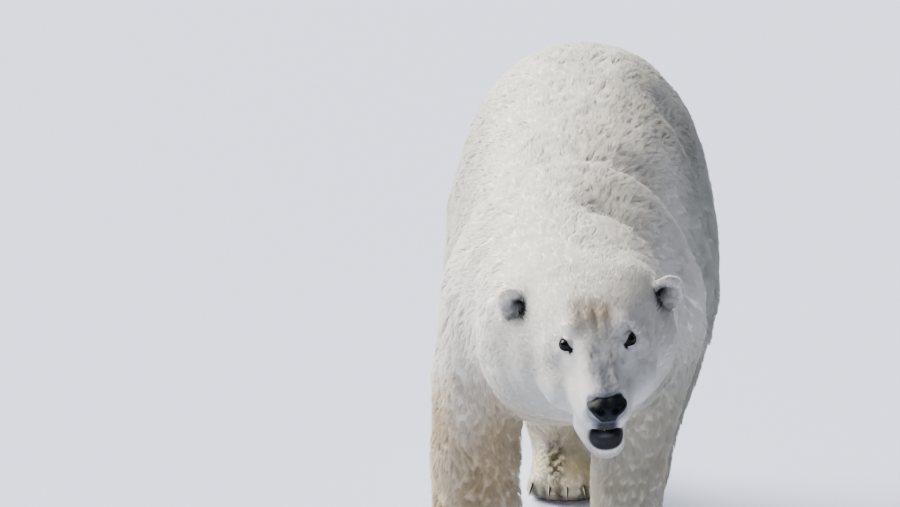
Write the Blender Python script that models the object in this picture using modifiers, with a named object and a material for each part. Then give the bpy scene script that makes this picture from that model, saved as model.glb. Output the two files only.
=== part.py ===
"""Polar bear, adult male, life size, walking with its head low.

The bear faces -Y, +Z is up and its soles stand on z = 0. Sizes are metres and
include the coat, so the solids reach out to the tips of the fur.

Every part of flesh starts as a loft or an ellipsoid made from named sizes. They
are fused into one body, relaxed as fur and fat would round it, and then parted
with thin cuts into head, neck, trunk, tail, legs and paws. Eyes, ears, nose and
claws are pieces of their own, let into that body.
"""

import math
from collections import namedtuple

import bmesh
import bpy
from mathutils import Matrix, Vector

# ---------------------------------------------------------------- dimensions
GAP = 0.0003  # clearance between touching solids
FUSE_VOXEL = 0.010  # grain of the fused body
FINE_TRIANGLES = 5200  # faces of the fused body while its face and paws are thinned
BODY_TRIANGLES = 3300  # and once the rest is thinned too
BODY_RELAX = 18  # rounds of smoothing on the body
FACE_RELAX = 10  # on the face
MUZZLE_RELAX = 4  # and on the muzzle and paws
RING_POINTS = 28  # points round a lofted ring
STEPS = 5  # rings between two stations

# A station of a loft: the middle of its ring, and how far the ring reaches to
# each side, above and below that middle.
Station = namedtuple("Station", "x y z side above below")

# Rump to nape. The middle of each ring is where the body is widest.
SPINE = (
    Station(0.020, 0.930, 0.900, 0.090, 0.110, 0.110),
    Station(0.022, 0.895, 0.880, 0.190, 0.250, 0.180),
    Station(0.022, 0.790, 0.840, 0.288, 0.392, 0.210),
    Station(0.024, 0.640, 0.795, 0.346, 0.527, 0.225),
    Station(0.034, 0.440, 0.750, 0.370, 0.628, 0.215),
    Station(0.031, 0.170, 0.735, 0.376, 0.622, 0.215),
    Station(0.017, -0.120, 0.760, 0.345, 0.556, 0.215),
    Station(0.004, -0.380, 0.830, 0.322, 0.466, 0.225),
    Station(0.000, -0.580, 0.900, 0.285, 0.376, 0.240),
    Station(0.016, -0.740, 0.965, 0.256, 0.290, 0.242),
    Station(0.024, -0.870, 1.005, 0.238, 0.238, 0.230),
    Station(0.040, -0.990, 1.040, 0.208, 0.180, 0.205),
    Station(0.056, -1.070, 1.060, 0.160, 0.120, 0.165),
)

# The head, in its own axes: -Y to the nose, origin midway between the ears.
HEAD_PLACE = Vector((0.058, -0.986, 1.120))
HEAD_PITCH = math.radians(12.5)  # nose down
HEAD_ROLL = math.radians(4.2)  # its left ear carried higher
HEAD_YAW = math.radians(4.3)  # towards its left

SKULL = (
    Station(0, -0.392, -0.045, 0.034, 0.030, 0.040),
    Station(0, -0.375, -0.048, 0.050, 0.044, 0.058),
    Station(0, -0.345, -0.050, 0.059, 0.054, 0.068),
    Station(0, -0.300, -0.050, 0.063, 0.064, 0.074),
    Station(0, -0.255, -0.046, 0.070, 0.077, 0.080),
    Station(0, -0.215, -0.040, 0.085, 0.096, 0.090),
    Station(0, -0.170, -0.038, 0.114, 0.120, 0.110),
    Station(0, -0.110, -0.040, 0.148, 0.144, 0.130),
    Station(0, -0.045, -0.045, 0.172, 0.160, 0.150),
    Station(0, 0.020, -0.050, 0.186, 0.166, 0.180),
    Station(0, 0.090, -0.060, 0.192, 0.160, 0.200),
)
JAW = (
    Station(0, -0.358, -0.160, 0.028, 0.030, 0.032),
    Station(0, -0.342, -0.160, 0.046, 0.044, 0.052),
    Station(0, -0.300, -0.157, 0.054, 0.050, 0.058),
    Station(0, -0.240, -0.152, 0.064, 0.058, 0.064),
    Station(0, -0.170, -0.150, 0.086, 0.078, 0.078),
    Station(0, -0.090, -0.154, 0.118, 0.098, 0.098),
    Station(0, 0.000, -0.160, 0.140, 0.110, 0.120),
)
# Rounded masses of the head: middle and half sizes, mirrored to both sides.
HEAD_MASSES = {
    "cheek": ((0.120, -0.022, -0.088), (0.090, 0.126, 0.136)),
    "jowl": ((0.084, -0.140, -0.086), (0.066, 0.124, 0.078)),
    "cheekbone": ((0.100, -0.128, -0.022), (0.046, 0.078, 0.058)),
    "brow": ((0.056, -0.162, 0.048), (0.036, 0.042, 0.028)),
    "muzzle side": ((0.046, -0.238, -0.070), (0.038, 0.108, 0.056)),
    "lip": ((0.031, -0.330, -0.076), (0.033, 0.056, 0.042)),
}

EYE_PLACE = Vector((0.0755, -0.194, 0.025))
EYE_RADIUS = 0.0150
# The nose pad, from its root between the lips to its flat front.
NOSE = (
    Station(0, -0.340, -0.040, 0.026, 0.016, 0.018),
    Station(0, -0.356, -0.041, 0.042, 0.026, 0.029),
    Station(0, -0.382, -0.043, 0.0455, 0.029, 0.033),
    Station(0, -0.398, -0.046, 0.037, 0.022, 0.028),
    Station(0, -0.404, -0.047, 0.018, 0.010, 0.013),
)
NOSE_POINTS = 14
NOSE_STEPS = 2
EAR_PLACE = Vector((0.184, 0.002, 0.019))
EAR_HALF = Vector((0.048, 0.028, 0.056))
EAR_TURN = math.radians(14)  # the opening turns outwards
EAR_LEAN = math.radians(18)  # the tip leans outwards
EAR_BOWL = Vector((0.030, 0.022, 0.034))
EAR_BOWL_SHIFT = Vector((0, -0.024, -0.004))
MOUTH_HEIGHT = -0.118  # of the parting of the lips, in the head's axes
MOUTH_OPEN = 0.020  # at the front
MOUTH_CORNER = -0.225
MOUTH_FRONT = -0.400  # just ahead of the lips
FACE_BACK = -0.080  # the face keeps its detail ahead of this

# Legs. Each joint is (x, y, z, half width, half depth), for the bear's own
# right (-X) or left (+X) leg as it stands in the stride.
Joint = namedtuple("Joint", "x y z side depth")
FORE_RIGHT = (
    Joint(-0.150, -0.340, 1.100, 0.106, 0.140),
    Joint(-0.194, -0.395, 1.000, 0.130, 0.185),
    Joint(-0.216, -0.470, 0.860, 0.124, 0.195),
    Joint(-0.236, -0.470, 0.690, 0.116, 0.182),
    Joint(-0.242, -0.490, 0.530, 0.110, 0.148),
    Joint(-0.242, -0.560, 0.350, 0.104, 0.120),
    Joint(-0.240, -0.630, 0.200, 0.100, 0.108),
    Joint(-0.240, -0.670, 0.090, 0.098, 0.092),
)
FORE_LEFT = (
    Joint(0.165, -0.340, 1.100, 0.112, 0.140),
    Joint(0.206, -0.385, 1.000, 0.132, 0.185),
    Joint(0.220, -0.430, 0.860, 0.126, 0.195),
    Joint(0.188, -0.410, 0.690, 0.114, 0.182),
    Joint(0.164, -0.385, 0.530, 0.104, 0.148),
    Joint(0.156, -0.375, 0.350, 0.099, 0.120),
    Joint(0.155, -0.380, 0.200, 0.097, 0.108),
    Joint(0.155, -0.400, 0.090, 0.097, 0.092),
)
HIND_RIGHT = (
    Joint(-0.130, 0.580, 1.060, 0.120, 0.190),
    Joint(-0.180, 0.590, 0.920, 0.152, 0.265),
    Joint(-0.186, 0.590, 0.750, 0.156, 0.285),
    Joint(-0.150, 0.605, 0.590, 0.146, 0.250),
    Joint(-0.102, 0.665, 0.440, 0.126, 0.198),
    Joint(-0.060, 0.750, 0.300, 0.110, 0.152),
    Joint(-0.034, 0.805, 0.180, 0.102, 0.124),
    Joint(-0.026, 0.825, 0.090, 0.096, 0.100),
)
HIND_LEFT = (
    Joint(0.190, 0.550, 1.060, 0.120, 0.190),
    Joint(0.238, 0.530, 0.920, 0.154, 0.265),
    Joint(0.252, 0.460, 0.750, 0.158, 0.285),
    Joint(0.246, 0.395, 0.590, 0.148, 0.245),
    Joint(0.222, 0.385, 0.440, 0.130, 0.192),
    Joint(0.200, 0.420, 0.300, 0.112, 0.150),
    Joint(0.190, 0.458, 0.180, 0.102, 0.122),
    Joint(0.188, 0.460, 0.090, 0.096, 0.100),
)

# Paws: half width of sole, length from heel to toe tips, height of the instep.
Paw = namedtuple("Paw", "x heel half_width length instep turn")
PAWS = {
    "forepaw_right": Paw(-0.240, -0.575, 0.124, 0.300, 0.130, math.radians(4)),
    "forepaw_left": Paw(0.156, -0.290, 0.124, 0.300, 0.130, math.radians(-6)),
    "hindpaw_right": Paw(-0.024, 0.918, 0.112, 0.390, 0.125, math.radians(3)),
    "hindpaw_left": Paw(0.188, 0.545, 0.112, 0.390, 0.125, math.radians(-5)),
}
TOES = 5
TOE_FAN = math.radians(26)  # from the middle toe to the outer one
CLAW_LENGTH = 0.062
CLAW_ROOT = 0.0085  # radius where it leaves the toe
CLAW_CURL = math.radians(48)
CLAW_SIDES = 5
CLAW_ROWS = 5
CLAW_AHEAD = 0.028  # of the middle of its toe
CLAW_HEIGHT = 0.013  # above the middle of its toe
TOE_HALF = (0.0275, 0.054, 0.038)
TOE_HEIGHT = 0.036
TOE_BACK = 0.052  # of the middle of the foremost toe, from the paw's tip
TOE_ARC = 0.034  # the outer toes lie this much further back
TOE_INSET = 0.024  # of the outer toes' middles from the sole's widest
PAW_TOP = 0.075  # paws keep their detail below this

TAIL = (
    Joint(0.020, 0.860, 1.030, 0.052, 0.052),
    Joint(0.020, 0.925, 0.985, 0.050, 0.046),
    Joint(0.020, 0.958, 0.930, 0.042, 0.036),
    Joint(0.020, 0.962, 0.880, 0.024, 0.022),
)

# Where the body is parted. Head and neck lie ahead of planes that lean back.
Plane = namedtuple("Plane", "place lean")
HEAD_PLANE = Plane((0.050, -0.935, 1.100), math.radians(-12))
NECK_PLANE = Plane((0.000, -0.660, 1.000), math.radians(-20))
JAW_BACK = -0.140  # of the lower jaw, in the head's axes
TAIL_BACK = 0.945  # the rump ends here, and the tail goes on
TAIL_ROOM = 0.1  # half size of the box that holds the tail
KNEE_HEIGHT = 0.500  # cut across the elbows and knees, under the belly
WRIST_HEIGHT = 0.150  # cut across the wrists and ankles

# The upper part of each leg: how far inwards and outwards it reaches, the height
# of its cut at each of them, and its front and back.
Shoulder = namedtuple("Shoulder", "inner outer inner_top outer_top front back")
SHOULDERS = {
    "foreleg_right_upper": Shoulder(-0.100, -0.460, 0.650, 1.040, -0.680, -0.200),
    "foreleg_left_upper": Shoulder(0.045, 0.460, 0.650, 1.040, -0.650, -0.170),
    "hindleg_right_upper": Shoulder(0.030, -0.460, 0.620, 1.060, 0.240, 0.880),
    "hindleg_left_upper": Shoulder(0.045, 0.520, 0.620, 1.060, 0.110, 0.760),
}
LEG_NAMES = ("foreleg_right", "foreleg_left", "hindleg_right", "hindleg_left")

# Colours are linear RGB.
COAT = (0.70, 0.66, 0.56)
FACE = (0.74, 0.73, 0.68)
BLACK_SKIN = (0.012, 0.012, 0.014)
EYE_BROWN = (0.010, 0.007, 0.005)
CLAW_HORN = (0.030, 0.027, 0.023)


# -------------------------------------------------------------- basic makers
def clear_scene():
    for obj in list(bpy.data.objects):
        bpy.data.objects.remove(obj, do_unlink=True)


def collection(name):
    made = bpy.data.collections.new(name)
    bpy.context.scene.collection.children.link(made)
    return made


def make_material(name, colour, roughness):
    material = bpy.data.materials.new(name)
    material.use_nodes = True
    shader = material.node_tree.nodes["Principled BSDF"]
    shader.inputs["Base Color"].default_value = (*colour, 1)
    shader.inputs["Roughness"].default_value = roughness
    shader.inputs["Metallic"].default_value = 0
    return material


def make_object(name, mesh_builder):
    """A new object whose mesh comes from a bmesh."""
    mesh = bpy.data.meshes.new(name)
    mesh_builder.to_mesh(mesh)
    mesh_builder.free()
    obj = bpy.data.objects.new(name, mesh)
    BEAR.objects.link(obj)
    return obj


def curve_through(rows, steps):
    """A smooth (Catmull-Rom) curve through rows of numbers, sampled between them."""
    last = len(rows) - 1
    out = []
    for i in range(last):
        near = [rows[max(i - 1, 0)], rows[i], rows[i + 1], rows[min(i + 2, last)]]
        for step in range(steps):
            t = step / steps
            out.append(
                [
                    b
                    + 0.5 * t * (c - a)
                    + t * t * (a - 2.5 * b + 2 * c - 0.5 * d)
                    + t**3 * (1.5 * (b - c) + 0.5 * (d - a))
                    for a, b, c, d in zip(*near)
                ]
            )
    out.append(list(rows[last]))
    return out


def loft(name, stations, squareness=2.0, upright=False, points=RING_POINTS, steps=STEPS):
    """A closed tube through stations, with superellipse rings.

    The rings are square to the path, or upright across the body.
    """
    rows = curve_through([tuple(s) for s in stations], steps)
    centres = [Vector(row[:3]) for row in rows]
    bm = bmesh.new()
    rings = []
    for i, (centre, row) in enumerate(zip(centres, rows)):
        side, above, below = (max(size, 0.004) for size in row[3:])
        ahead = centres[min(i + 1, len(rows) - 1)] - centres[max(i - 1, 0)]
        across = Vector((1, 0, 0))
        up = Vector((0, 0, 1)) if upright else ahead.cross(across).normalized()
        ring = []
        for k in range(points):
            angle = 2 * math.pi * k / points
            c, s = math.cos(angle), math.sin(angle)
            u = math.copysign(abs(c) ** (2 / squareness), c) * side
            v = math.copysign(abs(s) ** (2 / squareness), s) * (above if s > 0 else below)
            ring.append(bm.verts.new(centre + across * u + up * v))
        rings.append(ring)
    for one, two in zip(rings, rings[1:]):
        for k in range(points):
            after = (k + 1) % points
            bm.faces.new((one[k], one[after], two[after], two[k]))
    bm.faces.new(rings[0])
    bm.faces.new(rings[-1])
    bmesh.ops.recalc_face_normals(bm, faces=bm.faces)
    return make_object(name, bm)


def leg_loft(name, joints):
    return loft(name, [Station(j.x, j.y, j.z, j.side, j.depth, j.depth) for j in joints])


def ellipsoid(name, place, half, turn=Matrix(), segments=24, rings=14):
    bm = bmesh.new()
    matrix = Matrix.Translation(place) @ turn.to_4x4() @ Matrix.Diagonal((*half, 1))
    bmesh.ops.create_uvsphere(
        bm, u_segments=segments, v_segments=rings, radius=1, matrix=matrix
    )
    return make_object(name, bm)


def box(name, matrix, half):
    bm = bmesh.new()
    scale = Matrix.Diagonal((2 * half[0], 2 * half[1], 2 * half[2], 1))
    bmesh.ops.create_cube(bm, size=1, matrix=matrix @ scale)
    return make_object(name, bm)


# ------------------------------------------------------------ mesh operations
def bake_modifiers(obj):
    """Replaces an object's mesh by its evaluated one, and drops the modifiers."""
    bpy.context.view_layer.update()
    graph = bpy.context.evaluated_depsgraph_get()
    mesh = bpy.data.meshes.new_from_object(obj.evaluated_get(graph))
    obj.modifiers.clear()
    obj.data = mesh
    return obj


def copy_of(obj, name):
    twin = obj.copy()
    twin.data = obj.data.copy()
    twin.name = name
    BEAR.objects.link(twin)
    return twin


def discard(*objects):
    for obj in objects:
        bpy.data.objects.remove(obj, do_unlink=True)


def grown(obj, distance=GAP):
    """A copy of an object swollen along its normals, to cut room for it."""
    twin = copy_of(obj, obj.name + "_grown")
    swell = twin.modifiers.new("swell", "DISPLACE")
    swell.strength = distance
    swell.mid_level = 0
    return bake_modifiers(twin)


def boolean(obj, cutter, operation):
    cut = obj.modifiers.new("cut", "BOOLEAN")
    cut.operation = operation
    cut.object = cutter
    return bake_modifiers(obj)


def fuse(name, objects):
    """One closed skin round overlapping shapes."""
    bm = bmesh.new()
    for obj in objects:
        bm.from_mesh(obj.data)
    whole = make_object(name, bm)
    discard(*objects)
    remesh = whole.modifiers.new("fuse", "REMESH")
    remesh.mode = "VOXEL"
    remesh.voxel_size = FUSE_VOXEL
    return bake_modifiers(whole)


def relax(obj):
    """Rounds the creases between fused shapes, less where the shape is finer."""
    bm = bmesh.new()
    bm.from_mesh(obj.data)
    rounds = {v: relax_rounds(v.co) for v in bm.verts}
    for turn in range(BODY_RELAX):
        verts = [v for v in bm.verts if rounds[v] > turn]
        bmesh.ops.smooth_vert(
            bm, verts=verts, factor=0.5, use_axis_x=True, use_axis_y=True, use_axis_z=True
        )
    bm.to_mesh(obj.data)
    bm.free()


def relax_rounds(point):
    in_head = head_matrix().inverted() @ point
    if in_head.y < EYE_PLACE.y or point.z < PAW_TOP:
        return MUZZLE_RELAX
    return FACE_RELAX if in_head.y < 0 else BODY_RELAX


def triangle_count(obj):
    return sum(len(p.vertices) - 2 for p in obj.data.polygons)


def simplify(obj, triangles, group=""):
    thin = obj.modifiers.new("thin", "DECIMATE")
    thin.ratio = triangles / triangle_count(obj)
    thin.vertex_group = group
    return bake_modifiers(obj)


def part_off(whole, name, cutter):
    """Takes what lies inside the cutter off the whole, as a solid of its own."""
    piece = copy_of(whole, name)
    boolean(piece, cutter, "INTERSECT")
    wider = grown(cutter)
    boolean(whole, wider, "DIFFERENCE")
    discard(cutter, wider)
    return piece


def let_in(host, piece):
    """Cuts room for a piece into its host."""
    room = grown(piece)
    boolean(host, room, "DIFFERENCE")
    discard(room)


def split_islands(obj):
    """One object for each separate body of this one."""
    bm = bmesh.new()
    bm.from_mesh(obj.data)
    left = set(bm.verts)
    islands = []
    while left:
        island, edge = set(), [left.pop()]
        while edge:
            vert = edge.pop()
            island.add(vert.index)
            near = {e.other_vert(vert) for e in vert.link_edges} & left
            left -= near
            edge += near
        islands.append(island)
    bm.free()
    pieces = []
    for island in islands:
        part = bmesh.new()
        part.from_mesh(obj.data)
        away = [v for v in part.verts if v.index not in island]
        bmesh.ops.delete(part, geom=away, context="VERTS")
        pieces.append(make_object(obj.name, part))
    discard(obj)
    return pieces


def middle(obj):
    points = [v.co for v in obj.data.vertices]
    return sum(points, Vector()) / len(points)


def ahead_of(plane):
    """A box that holds everything in front of a leaning plane."""
    reach = 1.0
    turn = Matrix.Rotation(plane.lean, 4, "X")
    matrix = Matrix.Translation(plane.place) @ turn @ Matrix.Translation((0, -reach, 0))
    return box("cutter", matrix, (reach,) * 3)


def below(height):
    """A box that holds everything lower than a height."""
    reach = 1.5
    return box("cutter", Matrix.Translation((0, 0, height - reach)), (reach,) * 3)


def prism(name, outline, axis_point, start, end):
    """A solid between two copies of a flat outline, at start and at end."""
    bm = bmesh.new()
    first = [bm.verts.new(axis_point(a, b, start)) for a, b in outline]
    last = [bm.verts.new(axis_point(a, b, end)) for a, b in outline]
    bm.faces.new(first)
    bm.faces.new(last)
    for i in range(len(outline)):
        after = (i + 1) % len(outline)
        bm.faces.new((first[i], first[after], last[after], last[i]))
    bmesh.ops.recalc_face_normals(bm, faces=bm.faces)
    return make_object(name, bm)


# ----------------------------------------------------------------- the pieces
def head_matrix():
    turn = (
        Matrix.Rotation(HEAD_YAW, 4, "Z")
        @ Matrix.Rotation(-HEAD_ROLL, 4, "Y")
        @ Matrix.Rotation(HEAD_PITCH, 4, "X")
    )
    return Matrix.Translation(HEAD_PLACE) @ turn


def into_head(obj):
    """Carries an object from the head's own axes to where the head is."""
    obj.data.transform(head_matrix())
    return obj


def mirrored(place, side):
    return Vector((place[0] * side, place[1], place[2]))


def make_head_masses():
    masses = [loft("skull", SKULL, 2.25, True), loft("jaw", JAW, 2.2, True)]
    for name, (place, half) in HEAD_MASSES.items():
        for side in (-1, 1):
            masses.append(ellipsoid(name, mirrored(place, side), half))
    return [into_head(mass) for mass in masses]


def paw_matrix(paw):
    """The paw's own axes: origin under its heel, -Y to its toes."""
    return Matrix.Translation((paw.x, paw.heel, 0)) @ Matrix.Rotation(paw.turn, 4, "Z")


def toe_places(paw):
    """For each toe: its middle, and the angle that it points to, in the paw's axes."""
    reach = paw.length - TOE_BACK
    out = []
    for toe in range(TOES):
        share = 2 * toe / (TOES - 1) - 1
        angle = TOE_FAN * share
        x = (paw.half_width - TOE_INSET) * share
        y = -reach + TOE_ARC * share * share
        out.append((Vector((x, y, TOE_HEIGHT)), angle * 0.5))
    return out


def make_paw_masses(paw):
    wide, long, high = paw.half_width, paw.length, paw.instep
    sole = (
        Station(0, -0.020, 0.040, 0.045, 0.036, 0.045),
        Station(0, -0.055, 0.042, wide * 0.72, high * 0.70, 0.047),
        Station(0, -long * 0.45, 0.042, wide * 0.84, high * 0.66, 0.047),
        Station(0, -long * 0.72, 0.040, wide * 0.94, 0.062, 0.045),
        Station(0, -long + 0.058, 0.036, wide * 0.86, 0.036, 0.041),
    )
    masses = [loft("sole", sole, 2.3)]
    for place, angle in toe_places(paw):
        turn = Matrix.Rotation(angle, 3, "Z")
        masses.append(ellipsoid("toe", place, TOE_HALF, turn, 16, 10))
    for mass in masses:
        mass.data.transform(paw_matrix(paw))
    return masses


def make_claw(name, paw, place, angle):
    """A tapering horn that leaves the toe forwards and curls down."""
    curl = CLAW_LENGTH / CLAW_CURL
    bm = bmesh.new()
    rings = []
    for row in range(CLAW_ROWS):
        share = row / CLAW_ROWS
        bend = CLAW_CURL * share
        middle_y = -CLAW_AHEAD - curl * math.sin(bend)
        middle_z = CLAW_HEIGHT - curl * (1 - math.cos(bend))
        radius = CLAW_ROOT * (1 - share) ** 0.7
        ring = []
        for k in range(CLAW_SIDES):
            angle_round = 2 * math.pi * k / CLAW_SIDES
            x = 0.8 * radius * math.cos(angle_round)
            across = radius * math.sin(angle_round)
            y = middle_y - across * math.sin(bend)
            ring.append(bm.verts.new((x, y, middle_z + across * math.cos(bend))))
        rings.append(ring)
    tip_y = -CLAW_AHEAD - curl * math.sin(CLAW_CURL)
    tip_z = CLAW_HEIGHT - curl * (1 - math.cos(CLAW_CURL))
    tip = bm.verts.new((0, tip_y, tip_z))
    for one, two in zip(rings, rings[1:]):
        for k in range(CLAW_SIDES):
            after = (k + 1) % CLAW_SIDES
            bm.faces.new((one[k], one[after], two[after], two[k]))
    for k in range(CLAW_SIDES):
        bm.faces.new((rings[-1][k], rings[-1][(k + 1) % CLAW_SIDES], tip))
    bm.faces.new(rings[0])
    bmesh.ops.recalc_face_normals(bm, faces=bm.faces)
    matrix = Matrix.Translation(place) @ Matrix.Rotation(angle, 4, "Z")
    bm.transform(paw_matrix(paw) @ matrix)
    return make_object(name, bm)


def make_ear(name, side):
    """A rounded cup that leans outwards and opens to the front."""
    turn = Matrix.Rotation(side * EAR_TURN, 3, "Z") @ Matrix.Rotation(side * EAR_LEAN, 3, "Y")
    place = mirrored(EAR_PLACE, side)
    ear = ellipsoid(name, place, EAR_HALF, turn, 14, 8)
    bowl = ellipsoid("bowl", place + turn @ EAR_BOWL_SHIFT, EAR_BOWL, turn, 10, 6)
    return into_head(ear), into_head(bowl)


def is_fine(point):
    """Whether a point is on the face or low on a paw, which keep their detail."""
    in_head = head_matrix().inverted() @ point
    return in_head.y < FACE_BACK or point.z < PAW_TOP


def make_body():
    """The whole flesh of the bear in one closed skin, standing on flat soles."""
    masses = [loft("spine", SPINE, 2.25, True)]
    for joints in (FORE_RIGHT, FORE_LEFT, HIND_RIGHT, HIND_LEFT, TAIL):
        masses.append(leg_loft("limb", joints))
    for paw in PAWS.values():
        masses += make_paw_masses(paw)
    masses += make_head_masses()
    body = fuse("trunk", masses)
    relax(body)
    simplify(body, FINE_TRIANGLES)
    group = body.vertex_groups.new(name="plain")
    for vert in body.data.vertices:
        group.add([vert.index], 0.0 if is_fine(vert.co) else 1.0, "REPLACE")
    simplify(body, BODY_TRIANGLES, "plain")
    floor = below(0)
    boolean(body, floor, "DIFFERENCE")
    discard(floor)
    return body


def add_head_details(body):
    for name, side in (("left", 1), ("right", -1)):
        eye = ellipsoid(f"eye_{name}", mirrored(EYE_PLACE, side), (EYE_RADIUS,) * 3, Matrix(), 12, 8)
        let_in(body, into_head(eye))
        finish(eye, "Eye, wet cornea over a dark brown iris", EYE_BROWN, 0.08)
        ear, bowl = make_ear(f"ear_{name}", side)
        let_in(body, ear)
        boolean(ear, bowl, "DIFFERENCE")
        discard(bowl)
        finish(ear, "Ear, short white fur", FACE, 0.9)
    nose = into_head(loft("nose", NOSE, 2.3, True, NOSE_POINTS, NOSE_STEPS))
    let_in(body, nose)
    finish(nose, "Nose, bare black skin", BLACK_SKIN, 0.35)


def part_jaw(head):
    """Parts the lower jaw from the head, and slopes it down to open the mouth."""
    reach = 0.2
    middle_of_box = Matrix.Translation((0, JAW_BACK - reach, MOUTH_HEIGHT - reach))
    jaw_box = box("cutter", head_matrix() @ middle_of_box, (reach,) * 3)
    jaw = part_off(head, "lower_jaw", jaw_box)
    slope = MOUTH_OPEN / (MOUTH_CORNER - MOUTH_FRONT)
    behind = 0.05
    outline = (
        (MOUTH_CORNER + behind, MOUTH_HEIGHT + behind * slope),
        (MOUTH_FRONT, MOUTH_HEIGHT - MOUTH_OPEN),
        (MOUTH_FRONT, MOUTH_HEIGHT + behind),
    )
    gap = prism("cutter", outline, lambda y, z, x: (x, y, z), -reach, reach)
    boolean(jaw, into_head(gap), "DIFFERENCE")
    discard(gap)
    return jaw


def add_claws(body):
    for paw_name, paw in PAWS.items():
        for toe, (place, angle) in enumerate(toe_places(paw), 1):
            claw = make_claw(f"{paw_name}_claw_{toe}", paw, place, angle)
            let_in(body, claw)
            finish(claw, "Claw, dark horn", CLAW_HORN, 0.4)


def part_legs(body):
    lower = part_off(body, "lower", below(KNEE_HEIGHT))
    for leg in split_islands(lower):
        at = middle(leg)
        name = nearest_leg(at)
        paw = part_off(leg, name.replace("leg", "paw"), below(WRIST_HEIGHT))
        leg.name = name + "_lower"
        finish(leg, "Leg, long cream fur", COAT, 0.9)
        finish(paw, "Paw, cream fur", COAT, 0.9)
    for name, cut in SHOULDERS.items():
        outline = (
            (cut.inner, KNEE_HEIGHT - 0.05),
            (cut.inner, cut.inner_top),
            (cut.outer, cut.outer_top),
            (cut.outer, KNEE_HEIGHT - 0.05),
        )
        wedge = prism("cutter", outline, lambda x, z, y: (x, y, z), cut.front, cut.back)
        finish(part_off(body, name, wedge), "Leg, long cream fur", COAT, 0.9)


def nearest_leg(place):
    """The name of the leg whose paw is nearest to a place."""
    feet = [Vector((paw.x, paw.heel - paw.length / 2, 0)) for paw in PAWS.values()]
    flat = Vector((place.x, place.y, 0))
    return min(zip(feet, LEG_NAMES), key=lambda pair: (pair[0] - flat).length)[1]


def finish(obj, material_name, colour, roughness):
    obj.data.materials.clear()
    material = bpy.data.materials.get(material_name)
    obj.data.materials.append(material or make_material(material_name, colour, roughness))
    obj.data.shade_smooth()
    obj.data.set_sharp_from_angle(angle=math.radians(50))


def main():
    body = make_body()
    add_head_details(body)
    add_claws(body)
    part_legs(body)
    head = part_off(body, "head", ahead_of(HEAD_PLANE))
    jaw = part_jaw(head)
    neck = part_off(body, "neck", ahead_of(NECK_PLANE))
    tail_place = (TAIL[0].x, TAIL_BACK + TAIL_ROOM, TAIL[2].z)
    tail_box = box("cutter", Matrix.Translation(tail_place), (TAIL_ROOM,) * 3)
    tail = part_off(body, "tail", tail_box)
    for piece in (head, jaw):
        finish(piece, "Head, short white fur", FACE, 0.9)
    for piece in (body, neck, tail):
        finish(piece, "Body, long cream fur", COAT, 0.9)
    set_origin()


def set_origin():
    """Moves the bear so that the origin is on the floor, under its middle."""
    corners = [v.co for obj in BEAR.objects for v in obj.data.vertices]
    lowest = Vector(min(c[axis] for c in corners) for axis in range(3))
    highest = Vector(max(c[axis] for c in corners) for axis in range(3))
    under = (lowest + highest) / 2
    under.z = lowest.z
    for obj in BEAR.objects:
        obj.data.transform(Matrix.Translation(-under))


clear_scene()
BEAR = collection("polar_bear")
main()
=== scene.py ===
import math
import bpy
import numpy as np
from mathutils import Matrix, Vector
from mathutils.bvhtree import BVHTree


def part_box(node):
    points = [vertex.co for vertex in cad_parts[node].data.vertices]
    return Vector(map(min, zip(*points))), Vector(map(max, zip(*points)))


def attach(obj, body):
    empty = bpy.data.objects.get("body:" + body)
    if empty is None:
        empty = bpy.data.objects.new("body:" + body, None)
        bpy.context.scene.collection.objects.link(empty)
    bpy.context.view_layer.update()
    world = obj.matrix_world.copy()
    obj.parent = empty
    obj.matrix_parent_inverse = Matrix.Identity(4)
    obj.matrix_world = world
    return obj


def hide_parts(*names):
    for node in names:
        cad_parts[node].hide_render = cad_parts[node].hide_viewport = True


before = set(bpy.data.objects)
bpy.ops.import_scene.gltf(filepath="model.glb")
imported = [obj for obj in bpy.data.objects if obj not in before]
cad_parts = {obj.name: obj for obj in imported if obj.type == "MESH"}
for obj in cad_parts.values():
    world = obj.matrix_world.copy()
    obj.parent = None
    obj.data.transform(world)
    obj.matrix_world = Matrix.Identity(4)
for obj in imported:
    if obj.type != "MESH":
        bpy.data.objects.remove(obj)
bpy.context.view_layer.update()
dice = np.random.default_rng(41)
legNames = ("foreleg_right", "foreleg_left", "hindleg_right", "hindleg_left")
pawNames = ("forepaw_right", "forepaw_left", "hindpaw_right", "hindpaw_left")


# small helpers
def fromHex(colour):
    # sRGB hex to the linear values that a shader takes
    parts = [int(colour[i : i + 2], 16) / 255 for i in (1, 3, 5)]
    return [c / 12.92 if c <= 0.04045 else ((c + 0.055) / 1.055) ** 2.4 for c in parts]


def addNode(tree, kind, settings=None, links=None):
    node = tree.nodes.new(kind)
    for name, value in (settings or {}).items():
        if isinstance(name, str) and hasattr(node, name):
            setattr(node, name, value)
        else:
            node.inputs[name].default_value = value
    for name, source in (links or {}).items():
        tree.links.new(source, node.inputs[name])
    return node


def newMaterial(name, settings):
    material = bpy.data.materials.new(name)
    material.use_nodes = True
    shader = material.node_tree.nodes["Principled BSDF"]
    for socket, value in settings.items():
        if isinstance(value, str):
            value = (*fromHex(value), 1)
        shader.inputs[socket].default_value = value
    return material, material.node_tree, shader


def activate(*objects):
    if bpy.context.object and bpy.context.object.mode != "OBJECT":
        bpy.ops.object.mode_set(mode="OBJECT")
    bpy.ops.object.select_all(action="DESELECT")
    for obj in objects:
        obj.select_set(True)
    bpy.context.view_layer.objects.active = objects[0]


def applyModifier(obj, kind, settings):
    activate(obj)
    modifier = obj.modifiers.new(kind.lower(), kind)
    for name, value in settings.items():
        setattr(modifier, name, value)
    bpy.ops.object.modifier_apply(modifier=modifier.name)


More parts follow.
